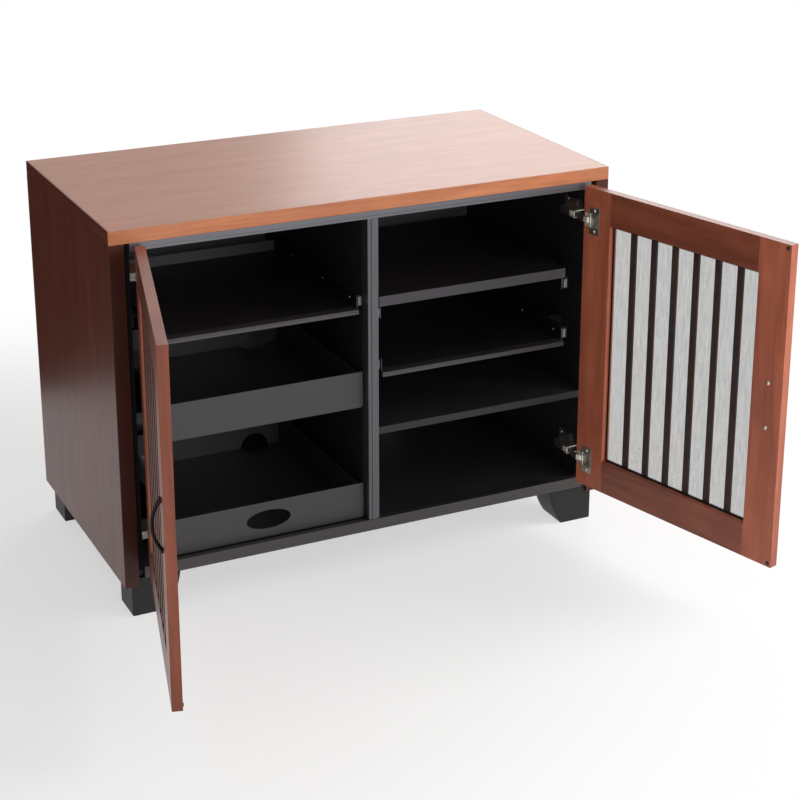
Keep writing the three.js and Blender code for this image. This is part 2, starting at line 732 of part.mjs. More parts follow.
// A door with everything that swings with it, in the door's own frame, then turned to its open place
function addDoor(side) {
  const mirror = side === 'left' ? 1 : -1;
  const { openCorner, cupOpen, armPivot, linkLength, openHeading } = hingeGeometry();
  const door = new THREE.Group();
  const openX = side === 'left' ? openCorner.x : cabinetWidth - openCorner.x;
  door.position.set(openX, openCorner.y, doorBottom);
  door.rotation.z = -mirror * doorOpenAngle;
  door.add(piece(`${side}_door_frame`, handed(side, doorFrame()), finishes.doorWood));
  door.add(piece(`${side}_door_slats`, handed(side, doorSlats()), finishes.doorWood));
  door.add(piece(`${side}_door_cloth`, handed(side, doorCloth()), finishes.cloth));
  const handle = piece(`${side}_door_handle`, handed(side, bowHandle()), finishes.moulded);
  handle.position.set(mirror * (doorWidth - handleEdgeInset), -doorThickness, handleRise);
  door.add(handle);
  for (const [level, height] of Object.entries(hingeHeights)) {
    const cup = piece(`${side}_${level}_hinge_cup`, handed(side, hingeCup()), finishes.nickel);
    cup.position.set(0, 0, height - doorBottom);
    door.add(cup);

    const link = piece(`${side}_${level}_hinge_link`, handed(side, hingeLink(linkLength)), finishes.nickel);
    const linkX = side === 'left' ? cupOpen.x : cabinetWidth - cupOpen.x;
    link.position.set(linkX, cupOpen.y, height);
    link.rotation.z = mirror * openHeading;
    cabinet.add(link);

    addHanded(side, `${side}_${level}_hinge_arm`, hingeArm(armPivot), finishes.nickel, 0, 0, height);
  }
  cabinet.add(door);
}

addTopPanel();
addSides();
addInnerPanels();
addFrontFrame();
addLegs();
addComponentShelf();
addTray('left', 'upper_tray', upperTrayUnderside);
addTray('right', 'lower_tray', lowerTrayUnderside);
addDrawer('middle_drawer', middleDrawerUnderside, false);
addDrawer('bottom_drawer', bottomDrawerUnderside, true);
addPulloutShelf();
hands.forEach(addDoor);

// Origin to the bottom centre of the whole cabinet with its doors open
const bounds = new THREE.Box3().setFromObject(cabinet);
cabinet.position.set(-(bounds.min.x + bounds.max.x) / 2, -(bounds.min.y + bounds.max.y) / 2, -bounds.min.z);

export default cabinet;
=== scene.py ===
# %% [markdown]
# # An audio equipment cabinet in cherry and black
#
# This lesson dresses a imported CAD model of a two-door cabinet. The CAD part gives every place
# and size, and the lesson adds what a joiner and a metal shop would add: veneer with its grain,
# solid lippings, glued door frames, grille cloth, screws, bumpers and slide ends.
#
# Lengths are in metres. +X runs to the right of someone in front of the cabinet, +Y to its
# back and +Z up. The cabinet is stored with its doors open and its trays pushed in.

# %% Load the frame
import json
import math

import bmesh
import bpy
from mathutils import Matrix, Vector


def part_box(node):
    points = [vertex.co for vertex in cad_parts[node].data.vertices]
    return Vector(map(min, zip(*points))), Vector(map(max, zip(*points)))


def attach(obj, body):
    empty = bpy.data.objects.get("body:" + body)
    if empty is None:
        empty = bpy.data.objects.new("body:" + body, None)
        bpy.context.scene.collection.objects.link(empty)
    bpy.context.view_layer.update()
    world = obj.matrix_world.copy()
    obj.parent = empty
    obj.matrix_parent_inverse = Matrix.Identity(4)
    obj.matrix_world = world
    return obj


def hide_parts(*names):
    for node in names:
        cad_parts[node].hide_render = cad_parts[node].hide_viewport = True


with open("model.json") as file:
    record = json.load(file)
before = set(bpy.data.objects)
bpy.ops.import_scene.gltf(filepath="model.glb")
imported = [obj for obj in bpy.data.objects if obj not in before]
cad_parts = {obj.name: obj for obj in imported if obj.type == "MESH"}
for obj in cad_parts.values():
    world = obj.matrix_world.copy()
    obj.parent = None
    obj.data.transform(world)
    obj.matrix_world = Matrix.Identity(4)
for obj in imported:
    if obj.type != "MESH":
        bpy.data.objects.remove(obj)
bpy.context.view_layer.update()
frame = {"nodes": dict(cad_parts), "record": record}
MM = 0.001

# %% [markdown]
# ## The camera
#
# A photographer stood to the left of the cabinet, above it, with a fairly long lens. The
# camera could be found by hand, but here its place comes from a fit to the corners of the
# case, so it is written down as a place, a point that it looks at and a lens.
# The lens is moved down a little, which keeps the upright edges closer to parallel.

# %% Camera
camera_place = Vector((-1.555, -3.379, 1.889))
camera_target = Vector((0.069, 0.0, 0.637))
camera_lens = 85.3
camera_shift = -0.15


def add_object(name, data):
    """Makes an object and puts it in the scene."""
    thing = bpy.data.objects.new(name, data)
    bpy.context.scene.collection.objects.link(thing)
    return thing


def aim_at(thing, place, target):
    """Stands a camera or a lamp at a place and points it at a target."""
    aim = (Vector(target) - Vector(place)).to_track_quat("-Z", "Y").to_matrix().to_4x4()
    thing.matrix_world = Matrix.Translation(place) @ aim


def add_camera():
    data = bpy.data.cameras.new("camera")
    data.lens = camera_lens
    data.shift_y = camera_shift
    camera = add_object("camera", data)
    aim_at(camera, camera_place, camera_target)
    bpy.context.scene.camera = camera
    return camera


camera = add_camera()
print("camera", camera.name, "lens", camera_lens)

# %% [markdown]
# ## Colours and nodes
#
# Colours are easiest to read as the hex values of a paint chart, but a renderer works in
# linear light. One function turns a hex value to linear light. Another adds a node to a
# material, with its settings and links, so that each finish below reads like a recipe.

# %% Colour and node helpers
MIX_A = 6
MIX_B = 7
MIX_COLOR = 2


def linear(hex_value):
    shares = [int(hex_value[start:start + 2], 16) / 255 for start in (1, 3, 5)]
    return tuple(v / 12.92 if v <= 0.04045 else ((v + 0.055) / 1.055) ** 2.4 for v in shares) + (1.0,)


def add_node(tree, kind, inputs=None, **settings):
    node = tree.nodes.new(kind)
    for name, value in settings.items():
        setattr(node, name, value)
    for name, value in (inputs or {}).items():
        if isinstance(value, bpy.types.NodeSocket):
            tree.links.new(value, node.inputs[name])
        else:
            node.inputs[name].default_value = value
    return node


def new_material(name):
    material = bpy.data.materials.new(name)
    material.use_nodes = True
    material.node_tree.nodes.clear()
    return material, material.node_tree


def finish_material(tree, shader):
    add_node(tree, "ShaderNodeOutputMaterial", {"Surface": shader.outputs[0]})


print("helpers ready, mid grey is", round(linear("#808080")[0], 3))

# %% [markdown]
# ## Lacquered cherry
#
# Cherry is a fine, even wood. It shows a broad, soft figure, straight streaks along the grain,
# hair-fine lines and short dark flecks of gum. A satin lacquer over it gives a quiet shine.
# The pattern reads an attribute that each board carries: how far a point lies along the grain,
# across it and through the board. So one recipe serves boards that point any way, and the
# doors keep their grain when they swing. Each kind of mark is noise stretched along the grain.
# The fine lines are drawn 1.6 mm apart, because the real ones, a third of that, would vanish
# at this distance.

# %% Marks in the wood
figure_length = 0.34
figure_width = 0.034
streak_length = 0.13
streak_width = 0.0042
line_length = 0.09
line_width = 0.0016
fleck_length = 0.009
fleck_width = 0.0011
blotch_size = 0.05
fleck_shade = 0.78
line_shades = (0.94, 1.05)
grain_span = {"From Min": 0.32, "From Max": 0.68}
fleck_span = {"From Min": 0.27, "From Max": 0.33}


def grain_noise(tree, place, length, width, detail, distortion=0.0):
    stretched = add_node(tree, "ShaderNodeMapping", {
        "Vector": place, "Scale": (1 / length, 1 / width, 1 / width),
    })
    noise = add_node(tree, "ShaderNodeTexNoise", {
        "Vector": stretched.outputs[0], "Scale": 1.0, "Detail": detail, "Roughness": 0.55,
        "Distortion": distortion,
    })
    return noise.outputs["Fac"]


marks = (figure_width, streak_width, line_width, fleck_width)
print("figure, streaks, lines and flecks are", [round(v / MM, 1) for v in marks], "mm wide")

# %% [markdown]
# The marks multiply the colour of the wood. A second attribute makes parts of a board
# darker: painted shade on faces that get less light, and near black on the slats' backs. The
# veneer of the sides is darker, as painted shade, that of the top is pale and even, and the
# solid lippings and doors lie between, with more streaks. Lacquer has an IOR of about 1.5. It
# is matched down to 1.36 here, because the white room would else turn the red grey.

# %% Lacquered cherry
wood_roughness = 0.34


def lacquered_cherry(name, light, dark, streakiness, blotchiness):
    material, tree = new_material(name)
    place = add_node(tree, "ShaderNodeAttribute", attribute_name="grain_place").outputs["Vector"]
    figure = grain_noise(tree, place, figure_length, figure_width, 3.0, 0.5)
    streaks = grain_noise(tree, place, streak_length, streak_width, 2.0)
    lines = grain_noise(tree, place, line_length, line_width, 2.0)
    flecks = grain_noise(tree, place, fleck_length, fleck_width, 1.0)
    blotches = grain_noise(tree, place, 2 * blotch_size, blotch_size, 2.0, 0.3)

    figure_share = add_node(tree, "ShaderNodeMapRange", {"Value": figure, **grain_span})
    wood = add_node(tree, "ShaderNodeMix", {
        "Factor": figure_share.outputs[0], MIX_A: linear(dark), MIX_B: linear(light),
    }, data_type="RGBA")
    shade = add_node(tree, "ShaderNodeAttribute", attribute_name="board_shade").outputs["Fac"]
    tone = add_node(tree, "ShaderNodeMath", {0: 1.0, 1: shade}, operation="SUBTRACT").outputs[0]
    for noise, span, darkest, lightest in (
        (flecks, fleck_span, fleck_shade, 1.0),
        (lines, grain_span, *line_shades),
        (streaks, grain_span, 1 - streakiness, 1 + streakiness),
        (blotches, grain_span, 1 - blotchiness, 1 + blotchiness),
    ):
        factor = add_node(tree, "ShaderNodeMapRange", {
            "Value": noise, **span, "To Min": darkest, "To Max": lightest,
        })
        tone = add_node(tree, "ShaderNodeMath", {
            0: tone, 1: factor.outputs[0],
        }, operation="MULTIPLY").outputs[0]
    shaded = add_node(tree, "ShaderNodeVectorMath", {
        0: wood.outputs[MIX_COLOR], "Scale": tone,
    }, operation="SCALE")
    gloss = add_node(tree, "ShaderNodeMapRange", {
        "Value": lines, **grain_span,
        "To Min": wood_roughness + 0.05, "To Max": wood_roughness - 0.03,
    })
    bump = add_node(tree, "ShaderNodeBump", {
        "Height": lines, "Strength": 0.1, "Distance": 0.0003,
    })
    shader = add_node(tree, "ShaderNodeBsdfPrincipled", {
        "Base Color": shaded.outputs[0], "Roughness": gloss.outputs[0], "IOR": 1.36,
        "Normal": bump.outputs[0], "Coat Weight": 0.05, "Coat Roughness": 0.2,
    })
    finish_material(tree, shader)
    return material


top_cherry = lacquered_cherry("cherry veneer of the top", "#B4765B", "#AA6E52", 0.03, 0.03)
# The sides' veneer is darker than the rest: painted shade, for the side that faces away from the main
# light.
side_cherry_painted_shade = lacquered_cherry("cherry veneer of the sides, darkened as painted shade", "#6C3628", "#5F2D20", 0.05, 0.05)
lipping_cherry = lacquered_cherry("solid cherry lipping", "#B87652", "#A66544", 0.08, 0.08)
door_cherry = lacquered_cherry("solid cherry of the doors", "#B8684D", "#97523E", 0.05, 0.09)
print("woods", top_cherry.name, side_cherry_painted_shade.name, lipping_cherry.name, door_cherry.name)

# %% [markdown]
# ## Black laminate
#
# The inside of the case is board faced with black melamine. A press plate leaves a fine
# pebble in it, which breaks up the reflections, and its black is a little blue. The same
# recipe serves every flat black finish here. The trays' boards are blacker. Their lips are
# powder-coated and greyer. The backs are lacquered hardboard, which is dull; their lighter
# black is painted light, for the light that reaches the backs of the bays. The banding on the
# liners' front edges is matt, and its near-black colour and low IOR paint the shade of the
# joint beside the door on these narrow edges.

# %% Black laminate
pebble_size = 0.0022
dust_size = 0.16
speckle_span = {"From Min": 0.3, "From Max": 0.7}


def black_laminate(name, colour, worn, roughness, ior=1.4):
    material, tree = new_material(name)
    place = add_node(tree, "ShaderNodeTexCoord").outputs["Object"]
    pebbles = add_node(tree, "ShaderNodeTexNoise", {
        "Vector": place, "Scale": 1 / pebble_size, "Detail": 2.0, "Roughness": 0.6,
    })
    cloud = add_node(tree, "ShaderNodeTexNoise", {
        "Vector": place, "Scale": 1 / dust_size, "Detail": 4.0, "Roughness": 0.6,
    })
    tone = add_node(tree, "ShaderNodeMix", {
        "Factor": cloud.outputs["Fac"], MIX_A: linear(colour), MIX_B: linear(worn),
    }, data_type="RGBA")
    gloss = add_node(tree, "ShaderNodeMapRange", {
        "Value": cloud.outputs["Fac"], **speckle_span,
        "To Min": roughness - 0.04, "To Max": roughness + 0.08,
    })
    bump = add_node(tree, "ShaderNodeBump", {
        "Height": pebbles.outputs["Fac"], "Strength": 0.15, "Distance": 0.0004,
    })
    shader = add_node(tree, "ShaderNodeBsdfPrincipled", {
        "Base Color": tone.outputs[MIX_COLOR], "Roughness": gloss.outputs[0], "IOR": ior,
        "Normal": bump.outputs[0],
    })
    finish_material(tree, shader)
    return material


case_black = black_laminate("black melamine", "#201F22", "#2A292C", 0.4)
tray_black = black_laminate("black melamine of the trays", "#0E0D0F", "#161417", 0.42)
lip_black = black_laminate("black powder coat of the tray lips", "#3A383C", "#434045", 0.45)
# The hardboard's lighter black is painted light, for the light that reaches the backs of the bays.
back_black_painted_light = black_laminate("black lacquered hardboard, lightened as painted light", "#454145", "#524E52", 0.55)
# The banding's near-black colour and low IOR paint the shade of the joint beside the door.
edge_black_painted_shade = black_laminate("matt black edge banding, darkened as painted shade", "#0E0D0E", "#151415", 0.6, 1.15)
print("blacks", case_black.name, tray_black.name, lip_black.name, back_black_painted_light.name, edge_black_painted_shade.name)

# %% [markdown]
# ## Metals
#
# The rails, the post and the tray trims are drawn aluminium, brushed along their length and
# anodised from grey to near black, so they show fine lines and a soft streak of light. The
# drawers are sheet steel with a powder coat, which flows out to a faint orange peel. The slides
# are black-plated steel, a little shiny, with zinc-plated ends, and the hinges are bright
# nickel plate. The handles are enamelled: black and smooth, and the lower IOR keeps the white
# room out of them. Brush lines are noise stretched along the piece.

# %% Metals
brush_length = 0.16
brush_width = 0.0009
peel_size = 0.0035
X_AXIS, Z_AXIS = 0, 2


def speckled(tree, colour, noise, darkest, lightest):
    """A colour that noise makes a little darker and lighter."""
    tone = add_node(tree, "ShaderNodeMapRange", {
        "Value": noise.outputs["Fac"], **speckle_span, "To Min": darkest, "To Max": lightest,
    })
    return add_node(tree, "ShaderNodeVectorMath", {
        0: linear(colour)[:3], "Scale": tone.outputs[0],
    }, operation="SCALE").outputs[0]


def brushed_aluminium(name, colour, long_axis, roughness=0.36):
    material, tree = new_material(name)
    place = add_node(tree, "ShaderNodeTexCoord").outputs["Object"]
    stretch = [1 / brush_width] * 3
    stretch[long_axis] = 1 / brush_length
    along = add_node(tree, "ShaderNodeMapping", {"Vector": place, "Scale": stretch})
    brush = add_node(tree, "ShaderNodeTexNoise", {
        "Vector": along.outputs[0], "Scale": 1.0, "Detail": 2.0, "Roughness": 0.5,
    })
    gloss = add_node(tree, "ShaderNodeMapRange", {
        "Value": brush.outputs["Fac"], **speckle_span,
        "To Min": roughness - 0.06, "To Max": roughness + 0.06,
    })
    shader = add_node(tree, "ShaderNodeBsdfPrincipled", {
        "Base Color": speckled(tree, colour, brush, 0.85, 1.12), "Metallic": 0.7,
        "Roughness": gloss.outputs[0],
    })
    finish_material(tree, shader)
    return material


def coated_steel(name, colour, roughness, metallic, peel=0.12, ior=1.5):
    material, tree = new_material(name)
    place = add_node(tree, "ShaderNodeTexCoord").outputs["Object"]
    grain = add_node(tree, "ShaderNodeTexNoise", {
        "Vector": place, "Scale": 1 / peel_size, "Detail": 1.0, "Roughness": 0.4,
    })
    gloss = add_node(tree, "ShaderNodeMapRange", {
        "Value": grain.outputs["Fac"], **speckle_span,
        "To Min": roughness - 0.03, "To Max": roughness + 0.05,
    })
    bump = add_node(tree, "ShaderNodeBump", {
        "Height": grain.outputs["Fac"], "Strength": peel, "Distance": 0.0004,
    })
    shader = add_node(tree, "ShaderNodeBsdfPrincipled", {
        "Base Color": speckled(tree, colour, grain, 0.93, 1.07), "Metallic": metallic,
        "Roughness": gloss.outputs[0], "IOR": ior, "Normal": bump.outputs[0],
    })
    finish_material(tree, shader)
    return material


rail_aluminium = brushed_aluminium("dark anodised aluminium, brushed across", "#6B6B6F", X_AXIS)
post_aluminium = brushed_aluminium("dark anodised aluminium, brushed upright", "#5F5E62", Z_AXIS)
trim_aluminium = brushed_aluminium("black anodised aluminium, brushed across", "#4C4A49", X_AXIS)
drawer_steel = coated_steel("grey powder coat", "#39383B", 0.42, 0.15)
slide_steel = coated_steel("black-plated steel", "#242327", 0.38, 0.4)
nickel = coated_steel("nickel plate", "#C9C6BE", 0.34, 1.0, 0.03)
enamel = coated_steel("black enamel", "#0E0D0D", 0.3, 0.0, 0.05, 1.3)
cap_zinc = coated_steel("zinc plate of the slide ends", "#77777A", 0.45, 0.5)
print("aluminium", rail_aluminium.name, post_aluminium.name, trim_aluminium.name)
print("steel", drawer_steel.name, slide_steel.name, nickel.name, enamel.name, cap_zinc.name)

# %% [markdown]
# ## Moulded legs and bumpers
#
# The legs are moulded plastic. The mould is spark-eroded, which leaves a fine, dull texture
# and hides scuffs. The bumpers are dark rubber from the same recipe, a little browner.

# %% Moulded plastic
texture_size = 0.0016


def moulded_plastic(name, colour, roughness):
    material, tree = new_material(name)
    place = add_node(tree, "ShaderNodeTexCoord").outputs["Object"]
    sparks = add_node(tree, "ShaderNodeTexNoise", {
        "Vector": place, "Scale": 1 / texture_size, "Detail": 2.0, "Roughness": 0.7,
    })
    bump = add_node(tree, "ShaderNodeBump", {
        "Height": sparks.outputs["Fac"], "Strength": 0.25, "Distance": 0.0004,
    })
    shader = add_node(tree, "ShaderNodeBsdfPrincipled", {
        "Base Color": speckled(tree, colour, sparks, 0.9, 1.1), "Roughness": roughness, "IOR": 1.38,
        "Normal": bump.outputs[0],
    })
    finish_material(tree, shader)
    return material


leg_plastic = moulded_plastic("moulded plastic", "#1C1A1B", 0.5)
bumper_rubber = moulded_plastic("dark rubber", "#2A2220", 0.6)
print("plastics", leg_plastic.name, bumper_rubber.name)

# %% [markdown]
# ## Grille cloth
#
# Grille cloth is an open knit of black yarn: from a step away the eye mixes the yarn and what
# lies behind it. It is drawn as threads with gaps, so that light and sight pass through it. The
# yarns lie 1.3 mm apart and are loose enough to let a little light through, loose fibres cross
# the gaps, and the pull of the stretched knit opens some columns more than others.
# The grain noise of the wood serves here too, with sizes counted in yarns.

# %% Open knit
yarn_spacing = 0.0013
yarn_share = 0.285
yarn_wander = 0.3
yarn_alpha = 0.8
fuzz_alpha = 0.16
bend_size = 14 * yarn_spacing
column_width = 4 * yarn_spacing
column_length = 30 * yarn_spacing
column_openness = 0.8


def open_knit(name, colour, pale):
    material, tree = new_material(name)
    place = add_node(tree, "ShaderNodeAttribute", attribute_name="grain_place").outputs["Vector"]
    wander = grain_noise(tree, place, bend_size, bend_size, 3.0)
    columns = grain_noise(tree, place, column_width, column_length, 3.0)
    bent = add_node(tree, "ShaderNodeVectorMath", {
        0: wander, 1: (yarn_spacing * yarn_wander,) * 3, 2: place,
    }, operation="MULTIPLY_ADD")
    axes = add_node(tree, "ShaderNodeSeparateXYZ", {0: bent.outputs[0]})
    gap = add_node(tree, "ShaderNodeMapRange", {
        "Value": columns, **grain_span, "To Min": column_openness,
    }).outputs[0]
    for axis in (0, 1):
        place_in_yarn = add_node(tree, "ShaderNodeMath", {
            0: axes.outputs[axis], 1: yarn_spacing,
        }, operation="FLOORED_MODULO")
        yarn_gap = add_node(tree, "ShaderNodeMath", {
            0: place_in_yarn.outputs[0], 1: yarn_spacing * yarn_share,
        }, operation="GREATER_THAN")
        gap = add_node(tree, "ShaderNodeMath", {
            0: gap, 1: yarn_gap.outputs[0],
        }, operation="MULTIPLY").outputs[0]
    solid = add_node(tree, "ShaderNodeMapRange", {
        "Value": gap, "To Min": yarn_alpha, "To Max": fuzz_alpha,
    })
    tone = add_node(tree, "ShaderNodeMix", {
        "Factor": wander, MIX_A: linear(colour), MIX_B: linear(pale),
    }, data_type="RGBA")
    shader = add_node(tree, "ShaderNodeBsdfPrincipled", {
        "Base Color": tone.outputs[MIX_COLOR], "Roughness": 0.9, "Alpha": solid.outputs[0],
        "Sheen Weight": 0.2, "Sheen Roughness": 0.5,
    })
    finish_material(tree, shader)
    return material


grille_cloth = open_knit("open knit grille cloth", "#302824", "#3E342D")
print("cloth", grille_cloth.name, "yarns", round(yarn_spacing / MM, 1), "mm apart")

# %% [markdown]
# ## Mesh helpers
#
# Most pieces here are boards and folded sheets. What makes them look made, not drawn, is
# their edges: sandpaper and lacquer round every arris a little, and a round edge catches the
# light. So each piece is built as a plain solid, then its sharp edges are bevelled.

# %% Mesh helpers
edge_angle = math.radians(30)
weld_distance = 0.01 * MM
flat_angle = math.radians(0.5)
UP, RIGHT, BACK = (0, 0, 1), (1, 0, 0), (0, 1, 0)


def bevel_edges(shape, width, segments=2, chosen=None):
    """Rounds the sharp edges, or only those for which chosen says yes."""
    sharp = [edge for edge in shape.edges
             if len(edge.link_faces) == 2 and edge.calc_face_angle() > edge_angle]
    picked = [edge for edge in sharp if chosen is None or chosen(edge)]
    bmesh.ops.bevel(shape, geom=picked, offset=width, segments=segments, profile=0.5,
                    affect="EDGES", clamp_overlap=True)


def add_box(shape, low, high):
    middle = (Vector(low) + Vector(high)) / 2
    size = Vector(high) - Vector(low)
    matrix = Matrix.Translation(middle) @ Matrix.Diagonal((*size, 1))
    return bmesh.ops.create_cube(shape, size=1.0, matrix=matrix)["verts"]


def move_shape(shape, matrix):
    """Moves a shape, and turns its faces round again where the move mirrors it."""
    bmesh.ops.transform(shape, matrix=matrix, verts=shape.verts)
    if matrix.determinant() < 0:
        bmesh.ops.reverse_faces(shape, faces=shape.faces)


def welded_copy(node, back_to=None):
    """The shape of a CAD node, its loose triangles welded and joined into flat faces."""
    shape = bmesh.new()
    shape.from_mesh(frame["nodes"][node].data)
    bmesh.ops.remove_doubles(shape, verts=shape.verts, dist=weld_distance)
    if back_to is not None:
        move_shape(shape, back_to)
    bmesh.ops.dissolve_limit(shape, angle_limit=flat_angle, verts=shape.verts, edges=shape.edges)
    return shape


def mesh_from(shape, name, matrix=None):
    if matrix is not None:
        move_shape(shape, matrix)
    mesh = bpy.data.meshes.new(name)
    shape.to_mesh(mesh)
    shape.free()
    return mesh


def place_mesh(mesh, matrix):
    """The same move for a finished mesh."""
    mesh.transform(matrix)
    if matrix.determinant() < 0:
        mesh.flip_normals()


def lay_grain(mesh, along, across, start=0.0):
    """Stores on each corner how far it lies along the grain, across it and through the board."""
    through = Vector(along).cross(Vector(across))
    layer = mesh.attributes.new("grain_place", "FLOAT_VECTOR", "CORNER")
    for corner in mesh.loops:
        point = mesh.vertices[corner.vertex_index].co
        layer.data[corner.index].vector = (
            point.dot(Vector(along)) + start, point.dot(Vector(across)) + start, point.dot(through),
        )


print("edges sharper than", round(math.degrees(edge_angle)), "degrees are rounded")

# %% [markdown]
# A mesh becomes a piece of the cabinet when it has its shading, its finish and the body that
# carries it. On a bevelled board plain smooth shading would bend the light over the flat faces
# too. Weighted normals keep the large faces flat, so that only the round edges shade as round.

# %% Pieces on their bodies
crease_angle = math.radians(50)
body_of_node = {
    node: body for body, nodes in frame["record"]["behaviour"]["bodies"].items() for node in nodes
}


def evaluated_mesh(holder):
    """The mesh that the modifiers of a throwaway object make, as a plain mesh."""
    graph = bpy.context.evaluated_depsgraph_get()
    mesh = bpy.data.meshes.new_from_object(
        holder.evaluated_get(graph), preserve_all_data_layers=True, depsgraph=graph,
    )
    bpy.data.objects.remove(holder)
    return mesh


def firm_shading(mesh):
    mesh.shade_smooth()
    mesh.set_sharp_from_angle(angle=crease_angle)
    holder = add_object("holder", mesh)
    weights = holder.modifiers.new("weights", "WEIGHTED_NORMAL")
    weights.keep_sharp = True
    weights.weight = 100
    return evaluated_mesh(holder)


def add_piece(name, mesh, material, body):
    firm = firm_shading(mesh)
    firm.name = name
    firm.materials.clear()
    firm.materials.append(material)
    piece = add_object(name, firm)
    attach(piece, body)
    return piece


# %% [markdown]
# ## Soft edges on the CAD pieces
#
# Most CAD nodes have the right shape and lack only the soft edges. Each is copied, its edges
# are bevelled, and the copy then stands for the node. Real edges differ: laminate is broken to
# half a millimetre, moulded legs are round, and sheet metal keeps only the radius of the cut.

# %% Softened copies of the CAD nodes
board_edge = 0.6 * MM
liner_edge = 0.5 * MM
sheet_edge = 0.4 * MM
leg_edge = 2.5 * MM
leg_segments = 3
clip_edge = 0.8 * MM
trim_edge = 0.25 * MM
fitting_edge = 0.3 * MM
front_facing = -0.9


def soften(node, material, edge, segments=2):
    shape = welded_copy(node)
    bevel_edges(shape, edge, segments)
    piece = add_piece(f"{node}_finished", mesh_from(shape, f"{node}_finished"), material,
                      body_of_node[node])
    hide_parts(node)
    return piece


def coat_front(piece, material):
    """The faces that look to the front get a finish of their own."""
    piece.data.materials.append(material)
    for face in piece.data.polygons:
        if face.normal.y < front_facing:
            face.material_index = 1


sides = ("left", "right")
ends = ("front", "back")
levels = ("lower", "upper")
trays = ("upper_tray", "lower_tray")
drawers = ("middle_drawer", "bottom_drawer")
softened = []
for node in ("bottom_panel", "centre_divider", "component_shelf"):
    softened.append(soften(node, case_black, board_edge))
for side in sides:
    softened.append(soften(f"{side}_side_liner", case_black, liner_edge))
    # The liners' front edges get the dark banding: painted shade.
    coat_front(softened[-1], edge_black_painted_shade)
    softened.append(soften(f"{side}_back_panel", back_black_painted_light, sheet_edge))
    for end in ends:
        softened.append(soften(f"{end}_{side}_leg", leg_plastic, leg_edge, leg_segments))
    for end in ends:
        softened.append(soften(f"{end}_shelf_clip_{side}", nickel, clip_edge))
softened.append(soften("top_front_rail", rail_aluminium, sheet_edge))
for node in ("bottom_front_rail", *(f"{tray}_trim" for tray in trays)):
    softened.append(soften(node, trim_aluminium, trim_edge))
softened.append(soften("centre_post", post_aluminium, sheet_edge))
for node in (*trays, "pullout_shelf"):
    softened.append(soften(node, tray_black, sheet_edge))
    coat_front(softened[-1], lip_black)
for node in drawers:
    softened.append(soften(node, drawer_steel, sheet_edge))
for node in (*trays, *drawers, "pullout_shelf"):
    for wall in ("divider", "liner"):
        softened.append(soften(f"{node}_{wall}_slide", slide_steel, fitting_edge))
for side in sides:
    for level in levels:
        for part in ("cup", "link", "arm"):
            softened.append(soften(f"{side}_{level}_hinge_{part}", nickel, fitting_edge))
print("softened nodes", len(softened))

# %% [markdown]
# ## Veneered top and sides
#
# The top and the sides are boards faced with veneer. Veneer can't cover a raw edge, so a
# joiner glues a strip of solid cherry along it, the lipping, and planes it flush. On the top
# all four edges have one. On the sides only the front edge shows. The lipping's grain runs
# along the strip. Each panel keeps the CAD node's box: the strips are cut out of it.

# %% Top and sides
top_lipping = 3 * MM
side_lipping = 2.5 * MM
top_edge = 0.7 * MM
lipping_edge = 0.7 * MM
seam = 0.1 * MM
lipping_painted_shade = 0.6
side_starts = {"left": 5.0, "right": 9.0}
lipping_start = 6.5


def board(name, low, high, along, across, material, body, edge, start=0.0, darker=0.0):
    """A plain board. start says where in the log it was cut, so that no two look the same."""
    shape = bmesh.new()
    add_box(shape, low, high)
    bevel_edges(shape, edge)
    mesh = mesh_from(shape, name)
    lay_grain(mesh, along, across, start)
    shade = mesh.attributes.new("board_shade", "FLOAT", "CORNER")
    shade.data.foreach_set("value", [darker] * len(mesh.loops))
    return add_piece(name, mesh, material, body)


def add_top():
    low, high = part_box("top_panel")
    inner_low = low + Vector((top_lipping, top_lipping, 0))
    inner_high = high - Vector((top_lipping, top_lipping, 0))
    panel = board("top_veneer", inner_low, inner_high, RIGHT, BACK, top_cherry,
                  "case", seam)
    strips = [
        ("front", low, (high.x, inner_low.y, high.z), RIGHT, 0.7),
        ("back", (low.x, inner_high.y, low.z), high, RIGHT, 1.9),
        ("left", (low.x, inner_low.y, low.z), (inner_low.x, inner_high.y, high.z), BACK, 3.1),
        ("right", (inner_high.x, inner_low.y, low.z), (high.x, inner_high.y, high.z), BACK, 4.3),
    ]
    lippings = []
    for edge, strip_low, strip_high, along, start in strips:
        # The top's left lipping takes the sides' darker veneer, as painted shade on the left.
        wood = side_cherry_painted_shade if edge == "left" else lipping_cherry
        lippings.append(board(f"top_lipping_{edge}", strip_low, strip_high, along, UP, wood,
                              "case", top_edge, start))
    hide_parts("top_panel")
    return [panel, *lippings]


def add_side(side):
    node = f"{side}_side_panel"
    low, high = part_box(node)
    shape = welded_copy(node)
    for vertex in shape.verts:
        if vertex.co.y < low.y + side_lipping:
            vertex.co.y = low.y + side_lipping
    bevel_edges(shape, seam)
    mesh = mesh_from(shape, node)
    lay_grain(mesh, UP, BACK, side_starts[side])
    panel = add_piece(f"{side}_side_veneer", mesh, side_cherry_painted_shade, "case")
    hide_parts(node)
    strip_high = (high.x, low.y + side_lipping, high.z)
    # The side's front lipping is darker still: painted shade, for the shadow of the open door in
    # front of it.
    lipping = board(f"{side}_side_lipping", low, strip_high, UP, RIGHT, side_cherry_painted_shade,
                    "case", lipping_edge, lipping_start, lipping_painted_shade)
    return [panel, lipping]


veneered = add_top() + add_side("left") + add_side("right")
print("veneered pieces", len(veneered))

# %% [markdown]
# ## Door frames
#
# A door frame is two full-height stiles with two rails glued between them. The wood runs
# along each, so the grain turns at the joints. The CAD frame is one solid, so it is turned
# back to its closed place, cut along the joint lines, and each zone gets its own grain. Then
# it goes back to where the open door stands. In that closed place x runs from the hinge edge
# to the free edge, and the inner face lies at zero depth. The right-hand door is the left one
# mirrored.

